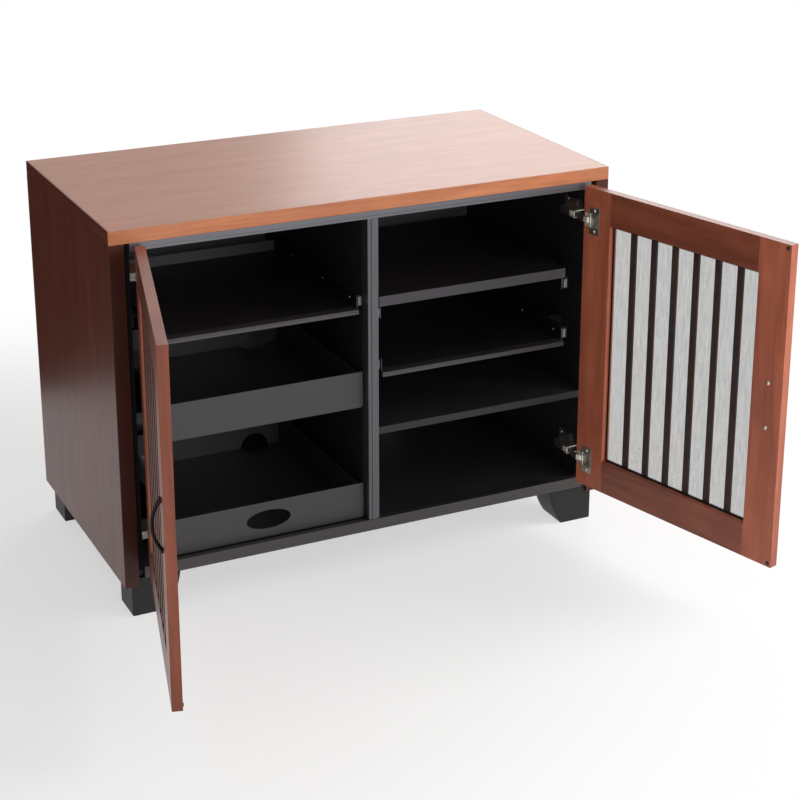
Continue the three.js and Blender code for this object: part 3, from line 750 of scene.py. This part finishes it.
# %% The closed door
door_angle = math.radians(104.5)
door_thickness = 20 * MM
stile_width = 78 * MM
rail_width = 74 * MM


def door_place(side):
    low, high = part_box("left_door_frame")
    corner = Vector((high.x, high.y + door_thickness * math.cos(door_angle), low.z))
    left = Matrix.Translation(corner) @ Matrix.Rotation(-door_angle, 4, "Z")
    return left if side == "left" else Matrix.Diagonal((-1, 1, 1, 1)) @ left


frame_low, frame_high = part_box("left_door_frame")
door_height = frame_high.z - frame_low.z
door_reach = frame_high.y - frame_low.y - door_thickness * abs(math.cos(door_angle))
door_width = door_reach / math.sin(door_angle)
print("door", round(door_width, 4), "by", round(door_height, 4))

# %% [markdown]
# Here the rails and the end grain are darker than the stiles, and the outer face and the free
# edge darker than the inner face. All of this is painted shade, for faces that get less light:
# the cross grain of the rails catches less of it. The rim of the opening is rounder than the
# outside, as a router bit leaves it.

# %% Door frames
door_edge = 1.4 * MM
opening_edge = 2.8 * MM
door_segments = 3
opening_segments = 4
rail_painted_shade = 0.4
outer_painted_shade = 0.4
free_edge_painted_shades = {"left": 0.42, "right": 0.24}
board_step = 2.7


def rims_opening(edge):
    """True for an edge of the opening on the inner face."""
    near = door_edge
    return all(abs(corner.co.y) < near
               and stile_width - near < corner.co.x < door_width - stile_width + near
               and rail_width - near < corner.co.z < door_height - rail_width + near
               for corner in edge.verts)


def lay_frame_grain(mesh, start, free_edge_painted_shade):
    """Grain of the closed door: upright in the stiles, level in the rails."""
    mesh.attributes.new("grain_place", "FLOAT_VECTOR", "CORNER")
    mesh.attributes.new("board_shade", "FLOAT", "CORNER")
    grain, shade = mesh.attributes["grain_place"], mesh.attributes["board_shade"]
    for face in mesh.polygons:
        across, up = face.center.x, face.center.z
        is_stile = across < stile_width or across > door_width - stile_width
        zone = (across > door_width / 2) if is_stile else 2 + (up > door_height / 2)
        shift = start + board_step * zone
        is_end_grain = abs(face.normal.z) >= 0.5
        is_free_edge = face.normal.x > 0.9 and across > door_width / 2
        # Painted shade: the rails, the top and bottom edges, the outer face and the free edge are
        # made darker.
        kept = 1.0 if is_stile and not is_end_grain else 1.0 - rail_painted_shade
        kept *= 1.0 - outer_painted_shade if face.normal.y < -0.5 else 1.0
        kept *= 1.0 - free_edge_painted_shade if is_free_edge else 1.0
        for corner in face.loop_indices:
            point = mesh.vertices[mesh.loops[corner].vertex_index].co
            along, over = (point.z, point.x) if is_stile else (point.x, point.z)
            grain.data[corner].vector = (along + shift, over + shift, point.y)
            shade.data[corner].value = 1.0 - kept


def add_door_frame(side, start):
    node = f"{side}_door_frame"
    place = door_place(side)
    shape = welded_copy(node, place.inverted())
    bevel_edges(shape, opening_edge, opening_segments, rims_opening)
    bevel_edges(shape, door_edge, door_segments, lambda edge: not rims_opening(edge))
    for joint in (stile_width, door_width - stile_width):
        everything = shape.verts[:] + shape.edges[:] + shape.faces[:]
        bmesh.ops.bisect_plane(shape, geom=everything, dist=weld_distance,
                               plane_co=(joint, 0, 0), plane_no=RIGHT)
    mesh = mesh_from(shape, node)
    lay_frame_grain(mesh, start, free_edge_painted_shades[side])
    place_mesh(mesh, place)
    piece = add_piece(f"{node}_boards", mesh, door_cherry, f"{side}_door")
    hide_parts(node)
    return piece


door_frames = [add_door_frame("left", 11.0), add_door_frame("right", 21.0)]
print("door frames", len(door_frames), "faces", len(door_frames[0].data.polygons))

# %% [markdown]
# ## Slats
#
# Six upright slats stand in front of the cloth, a fixed step apart, with wider gaps at the
# two ends. They could be six boxes, but a row with a rule is what Geometry Nodes are for: a
# line of points, a slat on each, and one number for the step. The row is made in the closed
# door's place, then laid on its door.

# %% A tree for a row of slats


def add_socket(tree, name, kind, way="INPUT"):
    return tree.interface.new_socket(name=name, in_out=way, socket_type=kind)


def finish_pieces(tree, copies, material):
    """The end of each tree: copies become real faces and get their material."""
    solid = add_node(tree, "GeometryNodeRealizeInstances", {"Geometry": copies.outputs[0]})
    done = add_node(tree, "GeometryNodeSetMaterial", {
        "Geometry": solid.outputs[0], "Material": material,
    })
    add_node(tree, "NodeGroupOutput", {"Geometry": done.outputs[0]})


def slat_row_tree(material):
    tree = bpy.data.node_groups.new("row of slats", "GeometryNodeTree")
    add_socket(tree, "Geometry", "NodeSocketGeometry")
    add_socket(tree, "Count", "NodeSocketInt")
    add_socket(tree, "Step", "NodeSocketFloat")
    add_socket(tree, "Slat", "NodeSocketObject")
    add_socket(tree, "Geometry", "NodeSocketGeometry", "OUTPUT")
    given = add_node(tree, "NodeGroupInput")
    step = add_node(tree, "ShaderNodeCombineXYZ", {"X": given.outputs["Step"]})
    line = add_node(tree, "GeometryNodeMeshLine", {
        "Count": given.outputs["Count"], "Offset": step.outputs[0],
    }, mode="OFFSET")
    slat = add_node(tree, "GeometryNodeObjectInfo", {"Object": given.outputs["Slat"]})
    copies = add_node(tree, "GeometryNodeInstanceOnPoints", {
        "Points": line.outputs["Mesh"], "Instance": slat.outputs["Geometry"],
    })
    finish_pieces(tree, copies, material)
    return tree


def run_tree(tree, name, source_mesh, values):
    """Runs a tree on a throwaway object and returns the result as a plain mesh."""
    holder = add_object(name, source_mesh)
    modifier = holder.modifiers.new("tree", "NODES")
    modifier.node_group = tree
    sockets = {item.name: item.identifier for item in tree.interface.items_tree
               if item.in_out == "INPUT"}
    for label, value in values.items():
        modifier[sockets[label]] = value
    mesh = evaluated_mesh(holder)
    mesh.name = name
    return mesh


slat_tree = slat_row_tree(door_cherry)
print("tree", slat_tree.name, "nodes", len(slat_tree.nodes))

# %% [markdown]
# The slats are tucked into grooves in the rails. Their fronts take the painted shade of the
# door's outer face. Their backs and sides are made almost black.

# %% Slats
slat_count = 6
slat_width = 16 * MM
slat_thickness = 5.5 * MM
slat_recess = 1 * MM
slat_end_gap = 47 * MM
slat_tuck = 5.7 * MM
slat_edge = 1.2 * MM
back_darkness = 0.9
slat_front = slat_recess - door_thickness
slat_back = slat_front + slat_thickness
slat_foot = rail_width - slat_tuck


def one_slat():
    clear_width = door_width - 2 * stile_width
    start = stile_width + slat_end_gap
    shape = bmesh.new()
    add_box(shape, (start, slat_front, slat_foot),
            (start + slat_width, slat_back, door_height - slat_foot))
    bevel_edges(shape, slat_edge)
    slat = add_object("one slat", mesh_from(shape, "one slat"))
    step = (clear_width - 2 * slat_end_gap - slat_width) / (slat_count - 1)
    return slat, step


def darken_slats(mesh):
    shade = mesh.attributes.new("board_shade", "FLOAT", "CORNER")
    for face in mesh.polygons:
        is_front = face.normal.y < -0.5
        for corner in face.loop_indices:
            shade.data[corner].value = outer_painted_shade if is_front else back_darkness


def add_slats():
    slat, step = one_slat()
    pieces = []
    for side, start in (("left", 31.0), ("right", 37.0)):
        mesh = run_tree(slat_tree, f"{side}_slats", bpy.data.meshes.new("row start"), {
            "Count": slat_count, "Step": step, "Slat": slat,
        })
        lay_grain(mesh, UP, RIGHT, start)
        darken_slats(mesh)
        place_mesh(mesh, door_place(side))
        piece = add_piece(f"{side}_slats", mesh, door_cherry, f"{side}_door")
        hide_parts(f"{side}_door_slats")
        pieces.append(piece)
    bpy.data.objects.remove(slat)
    return pieces, step


slats, slat_step = add_slats()
print("slats", len(slats), "step", round(slat_step, 4))

# %% [markdown]
# ## Grille cloth
#
# The cloth is stretched over a thin black frame that sits behind the slats. It is one flat
# sheet, tight as a drum, so a simulation would only make it worse. A grid of faces with a
# hair of slack in it keeps its shading alive. A narrow black strip holds its edge.

# %% Grille cloth
cloth_clearance = 0.3 * MM
cloth_front = slat_back + cloth_clearance
cloth_lift = 1.0 * MM
cloth_slack = 0.25 * MM
cloth_cells = 48
ripple_count = 9
ripple_share = 0.3
strip_width = 4 * MM
strip_height = 2.4 * MM
strip_joint = 0.05 * MM
strip_edge = 0.5 * MM


def cloth_outline():
    side_room, end_room = stile_width + cloth_clearance, rail_width + cloth_clearance
    low = Vector((side_room, 0, end_room))
    high = Vector((door_width - side_room, 0, door_height - end_room))
    return low, high


def add_cloth(side, start):
    low, high = cloth_outline()
    size = high - low
    shape = bmesh.new()
    bmesh.ops.create_grid(shape, x_segments=cloth_cells, y_segments=cloth_cells, size=0.5)
    for vertex in shape.verts:
        across, up = vertex.co.x + 0.5, vertex.co.y + 0.5
        ripple = math.sin(across * ripple_count * math.pi + start) * math.sin(up * math.pi)
        bow = math.sin(across * math.pi) * math.sin(up * math.pi)
        depth = cloth_front + cloth_lift + cloth_slack * (bow + ripple_share * ripple)
        vertex.co = Vector((low.x + across * size.x, depth, low.z + up * size.z))
    bmesh.ops.recalc_face_normals(shape, faces=shape.faces)
    mesh = mesh_from(shape, f"{side}_cloth")
    lay_grain(mesh, RIGHT, UP, start)
    place = door_place(side)
    place_mesh(mesh, place)
    cloth = add_piece(f"{side}_grille_cloth", mesh, grille_cloth, f"{side}_door")
    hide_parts(f"{side}_door_cloth")
    strip = add_cloth_strip(side, low, high, place)
    return [cloth, strip]


def add_cloth_strip(side, low, high, place):
    shape = bmesh.new()
    base = cloth_front + cloth_lift + 2 * cloth_slack
    top = base + strip_height
    add_box(shape, (low.x, base, low.z), (low.x + strip_width, top, high.z))
    add_box(shape, (high.x - strip_width, base, low.z), (high.x, top, high.z))
    inner_low = low.x + strip_width + strip_joint
    inner_high = high.x - strip_width - strip_joint
    add_box(shape, (inner_low, base, low.z), (inner_high, top, low.z + strip_width))
    add_box(shape, (inner_low, base, high.z - strip_width), (inner_high, top, high.z))
    bevel_edges(shape, strip_edge)
    mesh = mesh_from(shape, f"{side}_cloth_strip", place)
    return add_piece(f"{side}_cloth_strip", mesh, enamel, f"{side}_door")


cloths = add_cloth("left", 0.0) + add_cloth("right", 2.0)
print("cloth pieces", len(cloths))

# %% [markdown]
# ## Bow handles
#
# The handle is a round bar bent to a bow, thicker where it meets the door. A curve with a
# bevel would do, but a loft is as easy: a ring of points is carried along an arc and its
# radius grows towards the ends. The arc runs through the CAD handle's own box.

# %% Bow handles
handle_inset = 36 * MM
handle_rise = 346 * MM
handle_length = 112 * MM
handle_reach = 22 * MM
bar_radius = 3.4 * MM
foot_radius = 5.4 * MM
foot_flare = 6
ring_count = 48
ring_sides = 20


def bow_points():
    half = handle_length / 2 - foot_radius
    rise = handle_reach - bar_radius
    radius = (half * half + rise * rise) / (2 * rise)
    reach = math.asin(half / radius)
    for step in range(ring_count + 1):
        share = step / ring_count
        angle = -reach + 2 * reach * share
        centre = Vector((0, radius - rise - radius * math.cos(angle), radius * math.sin(angle)))
        direction = Vector((0, math.sin(angle), math.cos(angle)))
        flare = abs(2 * share - 1) ** foot_flare
        yield centre, direction, bar_radius + (foot_radius - bar_radius) * flare


def add_handle(side):
    shape = bmesh.new()
    rings = []
    sideways = Vector(RIGHT)
    for centre, direction, radius in bow_points():
        outward = direction.cross(sideways)
        ring = []
        for count in range(ring_sides):
            turn = 2 * math.pi * count / ring_sides
            offset = sideways * math.cos(turn) + outward * math.sin(turn)
            point = centre + offset * radius
            point.y = min(point.y, -cloth_clearance)
            ring.append(shape.verts.new(point))
        rings.append(ring)
    for first, second in zip(rings, rings[1:]):
        for count in range(ring_sides):
            after = (count + 1) % ring_sides
            shape.faces.new((first[count], first[after], second[after], second[count]))
    shape.faces.new(reversed(rings[0]))
    shape.faces.new(rings[-1])
    bmesh.ops.recalc_face_normals(shape, faces=shape.faces)
    at_door = Matrix.Translation((door_width - handle_inset, -door_thickness, handle_rise))
    mesh = mesh_from(shape, f"{side}_handle", door_place(side) @ at_door)
    piece = add_piece(f"{side}_bow_handle", mesh, enamel, f"{side}_door")
    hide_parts(f"{side}_door_handle")
    return piece


handles = [add_handle("left"), add_handle("right")]
print("handles", len(handles), "bar", round(2 * bar_radius / MM, 1), "mm thick")

# %% [markdown]
# ## Screws and bumpers
#
# Screws repeat all over the cabinet, and every one has the same head: a low dome with a
# cross recess. The dome is a profile turned round an axis, as on a lathe, and a Boolean cuts
# the two arms of the cross out of it.

# %% Screw head
head_profile = ((0.0, 0.0), (1.0, 0.0), (1.0, 0.25), (0.86, 0.66), (0.55, 0.92), (0.0, 1.0))
head_radius = 3.6 * MM
head_height = 1.8 * MM
recess_width = 0.9 * MM
recess_length = 4.2 * MM
recess_depth = 1.1 * MM
head_steps = 20


def turned_dome():
    shape = bmesh.new()
    rings = []
    for out, up in head_profile:
        count = 1 if out == 0 else head_steps
        rings.append([shape.verts.new((
            out * head_radius * math.cos(2 * math.pi * step / head_steps),
            out * head_radius * math.sin(2 * math.pi * step / head_steps),
            up * head_height,
        )) for step in range(count)])
    for first, second in zip(rings, rings[1:]):
        for step in range(head_steps):
            after = (step + 1) % head_steps
            corners = [first[step % len(first)], first[after % len(first)],
                       second[after % len(second)], second[step % len(second)]]
            shape.faces.new(list(dict.fromkeys(corners)))
    bmesh.ops.recalc_face_normals(shape, faces=shape.faces)
    return mesh_from(shape, "screw head")


def screw_head():
    head = add_object("screw head", turned_dome())
    half, wide, base = recess_length / 2, recess_width / 2, head_height - recess_depth
    cutters = []
    for x, y in ((half, wide), (wide, half)):
        shape = bmesh.new()
        add_box(shape, (-x, -y, base), (x, y, 2 * head_height))
        cutters.append(add_object("recess cutter", mesh_from(shape, "recess cutter")))
        cut = head.modifiers.new("cut", "BOOLEAN")
        cut.operation = "DIFFERENCE"
        cut.object = cutters[-1]
    finished = add_object("screw", evaluated_mesh(head))
    for cutter in cutters:
        bpy.data.objects.remove(cutter)
    return finished


screw = screw_head()
print("screw head", round(2 * head_radius / MM, 1), "mm across, faces", len(screw.data.polygons))

# %% [markdown]
# A tree puts a copy of the head on each point of a small mesh and turns it to face the way
# that the point says. So a row of screws is only a list of places, and one number makes them
# larger or smaller.

# %% A tree for screws


def screw_tree(material):
    tree = bpy.data.node_groups.new("screws on points", "GeometryNodeTree")
    add_socket(tree, "Geometry", "NodeSocketGeometry")
    add_socket(tree, "Head", "NodeSocketObject")
    add_socket(tree, "Size", "NodeSocketFloat")
    add_socket(tree, "Geometry", "NodeSocketGeometry", "OUTPUT")
    given = add_node(tree, "NodeGroupInput")
    facing = add_node(tree, "GeometryNodeInputNamedAttribute", {
        "Name": "facing",
    }, data_type="FLOAT_VECTOR")
    turn = add_node(tree, "FunctionNodeAlignRotationToVector", {
        "Vector": facing.outputs[0],
    }, axis="Z")
    head = add_node(tree, "GeometryNodeObjectInfo", {"Object": given.outputs["Head"]})
    copies = add_node(tree, "GeometryNodeInstanceOnPoints", {
        "Points": given.outputs["Geometry"], "Instance": head.outputs["Geometry"],
        "Rotation": turn.outputs[0], "Scale": given.outputs["Size"],
    })
    finish_pieces(tree, copies, material)
    return tree


screws_on_points = screw_tree(nickel)


def add_screws(name, body, places, size=1.0):
    """places holds a point and the way its screw faces."""
    points = bpy.data.meshes.new(name)
    points.from_pydata([tuple(point) for point, way in places], [], [])
    facing = points.attributes.new("facing", "FLOAT_VECTOR", "POINT")
    for index, (point, way) in enumerate(places):
        facing.data[index].vector = way
    mesh = run_tree(screws_on_points, name, points, {"Head": screw, "Size": size})
    return add_piece(name, mesh, nickel, body)


print("tree", screws_on_points.name, "nodes", len(screws_on_points.nodes))

# %% [markdown]
# Where the screws go: two hold each handle through the stile, two hold each hinge plate, two
# hold each hinge arm's foot, and three in each slide show inside the trays. The places are
# worked out from the pieces that they hold.

# %% Screws in place
handle_screw_gap = 96 * MM
handle_screw_size = 1.25
plate_screw_gap = 46 * MM
plate_screw_size = 0.9
plate_inset = 32 * MM
plate_face = 1.5 * MM
arm_screw_gap = 30 * MM
arm_screw_inset = 12 * MM
arm_screw_face = 4.75 * MM
wall_screw_steps = (36 * MM, 176 * MM, 351 * MM)
wall_screw_size = 0.75
tray_screw_rise = 25 * MM
slide_bar = 12.5 * MM
wall_sheet = 2 * MM


def middle_level(node):
    low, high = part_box(node)
    return (low.z + high.z) / 2


def add_door_screws(side):
    place = door_place(side)
    inward = place.to_3x3() @ Vector(BACK)
    handle_places = [(place @ Vector((door_width - handle_inset, 0, handle_rise + half)), inward)
                     for half in (-handle_screw_gap / 2, handle_screw_gap / 2)]
    plates = []
    for level in levels:
        middle = middle_level(f"left_{level}_hinge_cup") - frame_low.z
        for half in (-plate_screw_gap / 2, plate_screw_gap / 2):
            plates.append((place @ Vector((plate_inset, plate_face, middle + half)), inward))
    return [
        add_screws(f"{side}_handle_screws", f"{side}_door", handle_places, handle_screw_size),
        add_screws(f"{side}_hinge_plate_screws", f"{side}_door", plates, plate_screw_size),
    ]


def add_arm_screws(side):
    places = []
    inward = Vector(RIGHT) if side == "left" else -Vector(RIGHT)
    for level in levels:
        arm = f"{side}_{level}_hinge_arm"
        low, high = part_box(arm)
        face = (low.x if side == "left" else high.x) + inward.x * arm_screw_face
        for half in (-arm_screw_gap / 2, arm_screw_gap / 2):
            place = Vector((face, high.y - arm_screw_inset, middle_level(arm) + half))
            places.append((place, inward))
    return add_screws(f"{side}_hinge_arm_screws", "case", places)


def add_tray_screws(node):
    low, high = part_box(node)
    wall = slide_bar + wall_sheet
    level = low.z + tray_screw_rise
    places = []
    for reach in wall_screw_steps:
        places.append((Vector((low.x + wall, low.y + reach, level)), Vector(RIGHT)))
        places.append((Vector((high.x - wall, low.y + reach, level)), -Vector(RIGHT)))
    return add_screws(f"{node}_screws", node, places, wall_screw_size)


screws = [piece for side in sides for piece in add_door_screws(side)]
screws += [add_arm_screws(side) for side in sides]
screws += [add_tray_screws(node) for node in trays]
print("screw pieces", len(screws))

# %% [markdown]
# A bumper is a small soft dome stuck on the inner face of the door, near its free corners. It
# keeps the door from slapping on the case. A squashed ball, cut flat, is all it is.

# %% Bumpers
bumper_radius = 4.5 * MM
bumper_rise = 2.2 * MM
bumper_inset = 8 * MM
bumper_steps = 20


def add_bumpers(side):
    shape = bmesh.new()
    for height in (bumper_inset, door_height - bumper_inset):
        ball = bmesh.ops.create_uvsphere(
            shape, u_segments=bumper_steps, v_segments=bumper_steps // 2, radius=1.0,
        )
        for vertex in ball["verts"]:
            flat = max(vertex.co.y, 0.0)
            vertex.co = Vector((door_width - bumper_inset + vertex.co.x * bumper_radius,
                                flat * bumper_rise, height + vertex.co.z * bumper_radius))
    bmesh.ops.remove_doubles(shape, verts=shape.verts, dist=weld_distance)
    bmesh.ops.recalc_face_normals(shape, faces=shape.faces)
    mesh = mesh_from(shape, f"{side}_bumpers", door_place(side))
    return add_piece(f"{side}_bumpers", mesh, bumper_rubber, f"{side}_door")


bumpers = [add_bumpers(side) for side in sides]
print("bumpers", len(bumpers))

# %% [markdown]
# ## Slide ends
#
# The moving half of each slide ends in a bright plated tab, folded over the front of the bar.
# It is the small light block that shows beside each pulled-out tray. The drawers' own fronts
# are wide enough to hide theirs.

# %% Slide ends
tab_front = 2 * MM
tab_back = 4.8 * MM
tab_setback = 2.5 * MM
tab_width = 7 * MM
tab_height = 19 * MM
tab_edge = 0.8 * MM
slide_rises = {"upper_tray": 25 * MM, "lower_tray": 25 * MM, "pullout_shelf": 13.6 * MM}


def add_slide_ends(node, rise):
    low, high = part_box(node)
    shape = bmesh.new()
    middle = low.z + rise
    for left in (low.x + tab_setback, high.x - tab_setback - tab_width):
        add_box(shape, (left, low.y + tab_front, middle - tab_height / 2),
                (left + tab_width, low.y + tab_back, middle + tab_height / 2))
    bevel_edges(shape, tab_edge)
    name = f"{node}_slide_ends"
    return add_piece(name, mesh_from(shape, name), cap_zinc, node)


slide_ends = [add_slide_ends(node, rise) for node, rise in slide_rises.items()]
bpy.data.objects.remove(screw)
print("slide ends", len(slide_ends))

# %% [markdown]
# ## Trim flanges
#
# The trim along a tray's front edge is an angle: its upright leg is the CAD node, and a thin
# flange lies back over the board and holds it down. One flat strip between the tray's walls is
# enough.

# %% Trim flanges
flange_depth = 18 * MM
flange_thickness = 0.9 * MM
flange_gap = 0.3 * MM
flange_edge = 0.3 * MM


def add_trim_flange(node):
    low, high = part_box(f"{node}_trim")
    side_room = wall_sheet + flange_gap
    shape = bmesh.new()
    add_box(shape, (low.x + side_room, high.y, high.z - flange_thickness),
            (high.x - side_room, high.y + flange_depth, high.z))
    bevel_edges(shape, flange_edge)
    name = f"{node}_trim_flange"
    return add_piece(name, mesh_from(shape, name), trim_aluminium, node)


flanges = [add_trim_flange(node) for node in trays]
print("flanges", len(flanges))

# %% [markdown]
# ## The floor
#
# The cabinet stands on a pale sweep that fades to white, as in a studio. Near the cabinet about
# half of what is seen is lit paper, which keeps the shadow. Further out it turns to pure white,
# but only for the rays that look at it, so that this white throws no light on the cabinet.

# %% Floor
floor_size = 24.0
floor_glow_share = 0.56
fade_centre = (-0.55, 0.3, 0.0)
fade_start = 0.9
fade_end = 1.75


def seen_share(tree):
    """1 for the rays that show the backdrop: straight from the camera, mirrored or refracted."""
    path = add_node(tree, "ShaderNodeLightPath")
    direct = add_node(tree, "ShaderNodeMath", {
        0: path.outputs["Is Camera Ray"], 1: path.outputs["Is Transmission Ray"],
    }, operation="MAXIMUM")
    return add_node(tree, "ShaderNodeMath", {
        0: direct.outputs[0], 1: path.outputs["Is Glossy Ray"],
    }, operation="MAXIMUM").outputs[0]


def add_floor():
    material, tree = new_material("pale studio floor")
    place = add_node(tree, "ShaderNodeTexCoord").outputs["Object"]
    away = add_node(tree, "ShaderNodeVectorMath", {0: place, 1: fade_centre}, operation="DISTANCE")
    fade = add_node(tree, "ShaderNodeMapRange", {
        "Value": away.outputs["Value"], "From Min": fade_start, "From Max": fade_end,
        "To Min": floor_glow_share, "To Max": 1.0,
    }, interpolation_type="SMOOTHSTEP")
    share = add_node(tree, "ShaderNodeMath", {
        0: fade.outputs[0], 1: seen_share(tree),
    }, operation="MULTIPLY")
    paper = add_node(tree, "ShaderNodeBsdfPrincipled", {
        "Base Color": linear("#F4F3F1"), "Roughness": 0.7, "Specular IOR Level": 0.2,
    })
    white = add_node(tree, "ShaderNodeEmission", {"Color": (1, 1, 1, 1), "Strength": 1.0})
    mixed = add_node(tree, "ShaderNodeMixShader", {
        0: share.outputs[0], 1: paper.outputs[0], 2: white.outputs[0],
    })
    finish_material(tree, mixed)
    shape = bmesh.new()
    bmesh.ops.create_grid(shape, x_segments=4, y_segments=4, size=floor_size / 2)
    mesh = mesh_from(shape, "floor")
    mesh.materials.append(material)
    floor = add_object("floor", mesh)
    return floor


floor = add_floor()
print("floor", floor.name, "fades from", fade_start, "to", fade_end)

# %% [markdown]
# ## A dark card
#
# A photographer puts a black card where a shiny surface would mirror the white room. This one
# stands behind the left side. It darkens that side's reflections and nothing else.

# %% Dark card
card_near, card_far = (-2.8, 1.0), (-0.55, 1.3)
card_height = 2.8


def add_dark_card():
    material, tree = new_material("black card")
    paint = add_node(tree, "ShaderNodeBsdfPrincipled", {
        "Base Color": linear("#141210"), "Roughness": 0.9,
    })
    finish_material(tree, paint)
    shape = bmesh.new()
    corners = [(*card_near, 0), (*card_far, 0), (*card_far, card_height), (*card_near, card_height)]
    shape.faces.new([shape.verts.new(corner) for corner in corners])
    mesh = mesh_from(shape, "dark card")
    mesh.materials.append(material)
    card = add_object("dark card", mesh)
    card.visible_camera = False
    card.visible_diffuse = False
    card.visible_shadow = False
    return card


card = add_dark_card()
print("card", card.name, "height", card_height)

# %% [markdown]
# ## Lamps and the white room
#
# The main light is a large soft box to the right and above, and a weaker one stands in front.
# The left side sees only the room, so it stays darker, and its darker veneer adds painted
# shade. A third soft box, far behind, gives the sheen on the top. The top doesn't mirror the
# main one, whose glare would wipe out the grain when it is seen from behind.

# %% Lamps and the white room
room_light = 0.42


def add_soft_box(name, place, target, width, height, power):
    light = bpy.data.lights.new(name, "AREA")
    light.shape = "RECTANGLE"
    light.size = width
    light.size_y = height
    light.energy = power
    lamp = add_object(name, light)
    aim_at(lamp, place, target)
    return lamp


def add_world():
    world = bpy.data.worlds.new("white room")
    bpy.context.scene.world = world
    world.use_nodes = True
    tree = world.node_tree
    tree.nodes.clear()
    strength = add_node(tree, "ShaderNodeMapRange", {
        "Value": seen_share(tree), "To Min": room_light, "To Max": 1.0,
    })
    background = add_node(tree, "ShaderNodeBackground", {
        "Color": (1, 1, 1, 1), "Strength": strength.outputs[0],
    })
    add_node(tree, "ShaderNodeOutputWorld", {"Surface": background.outputs[0]})
    return world


world = add_world()
key = add_soft_box("key soft box", (3.7, -1.6, 1.85), (0.1, -0.1, 0.45), 2.2, 2.7, 175)
fill = add_soft_box("front soft box", (0.7, -4.6, 1.7), (0.0, 0.0, 0.4), 3.0, 2.0, 75)
sheen = add_soft_box("sheen soft box", (2.6, 3.3, 2.2), (0.3, 0.3, 0.8), 2.7, 1.8, 42)
key.visible_glossy = False
bpy.context.scene.view_settings.view_transform = "Standard"
print("lights", key.name, fill.name, sheen.name, "in the", world.name)
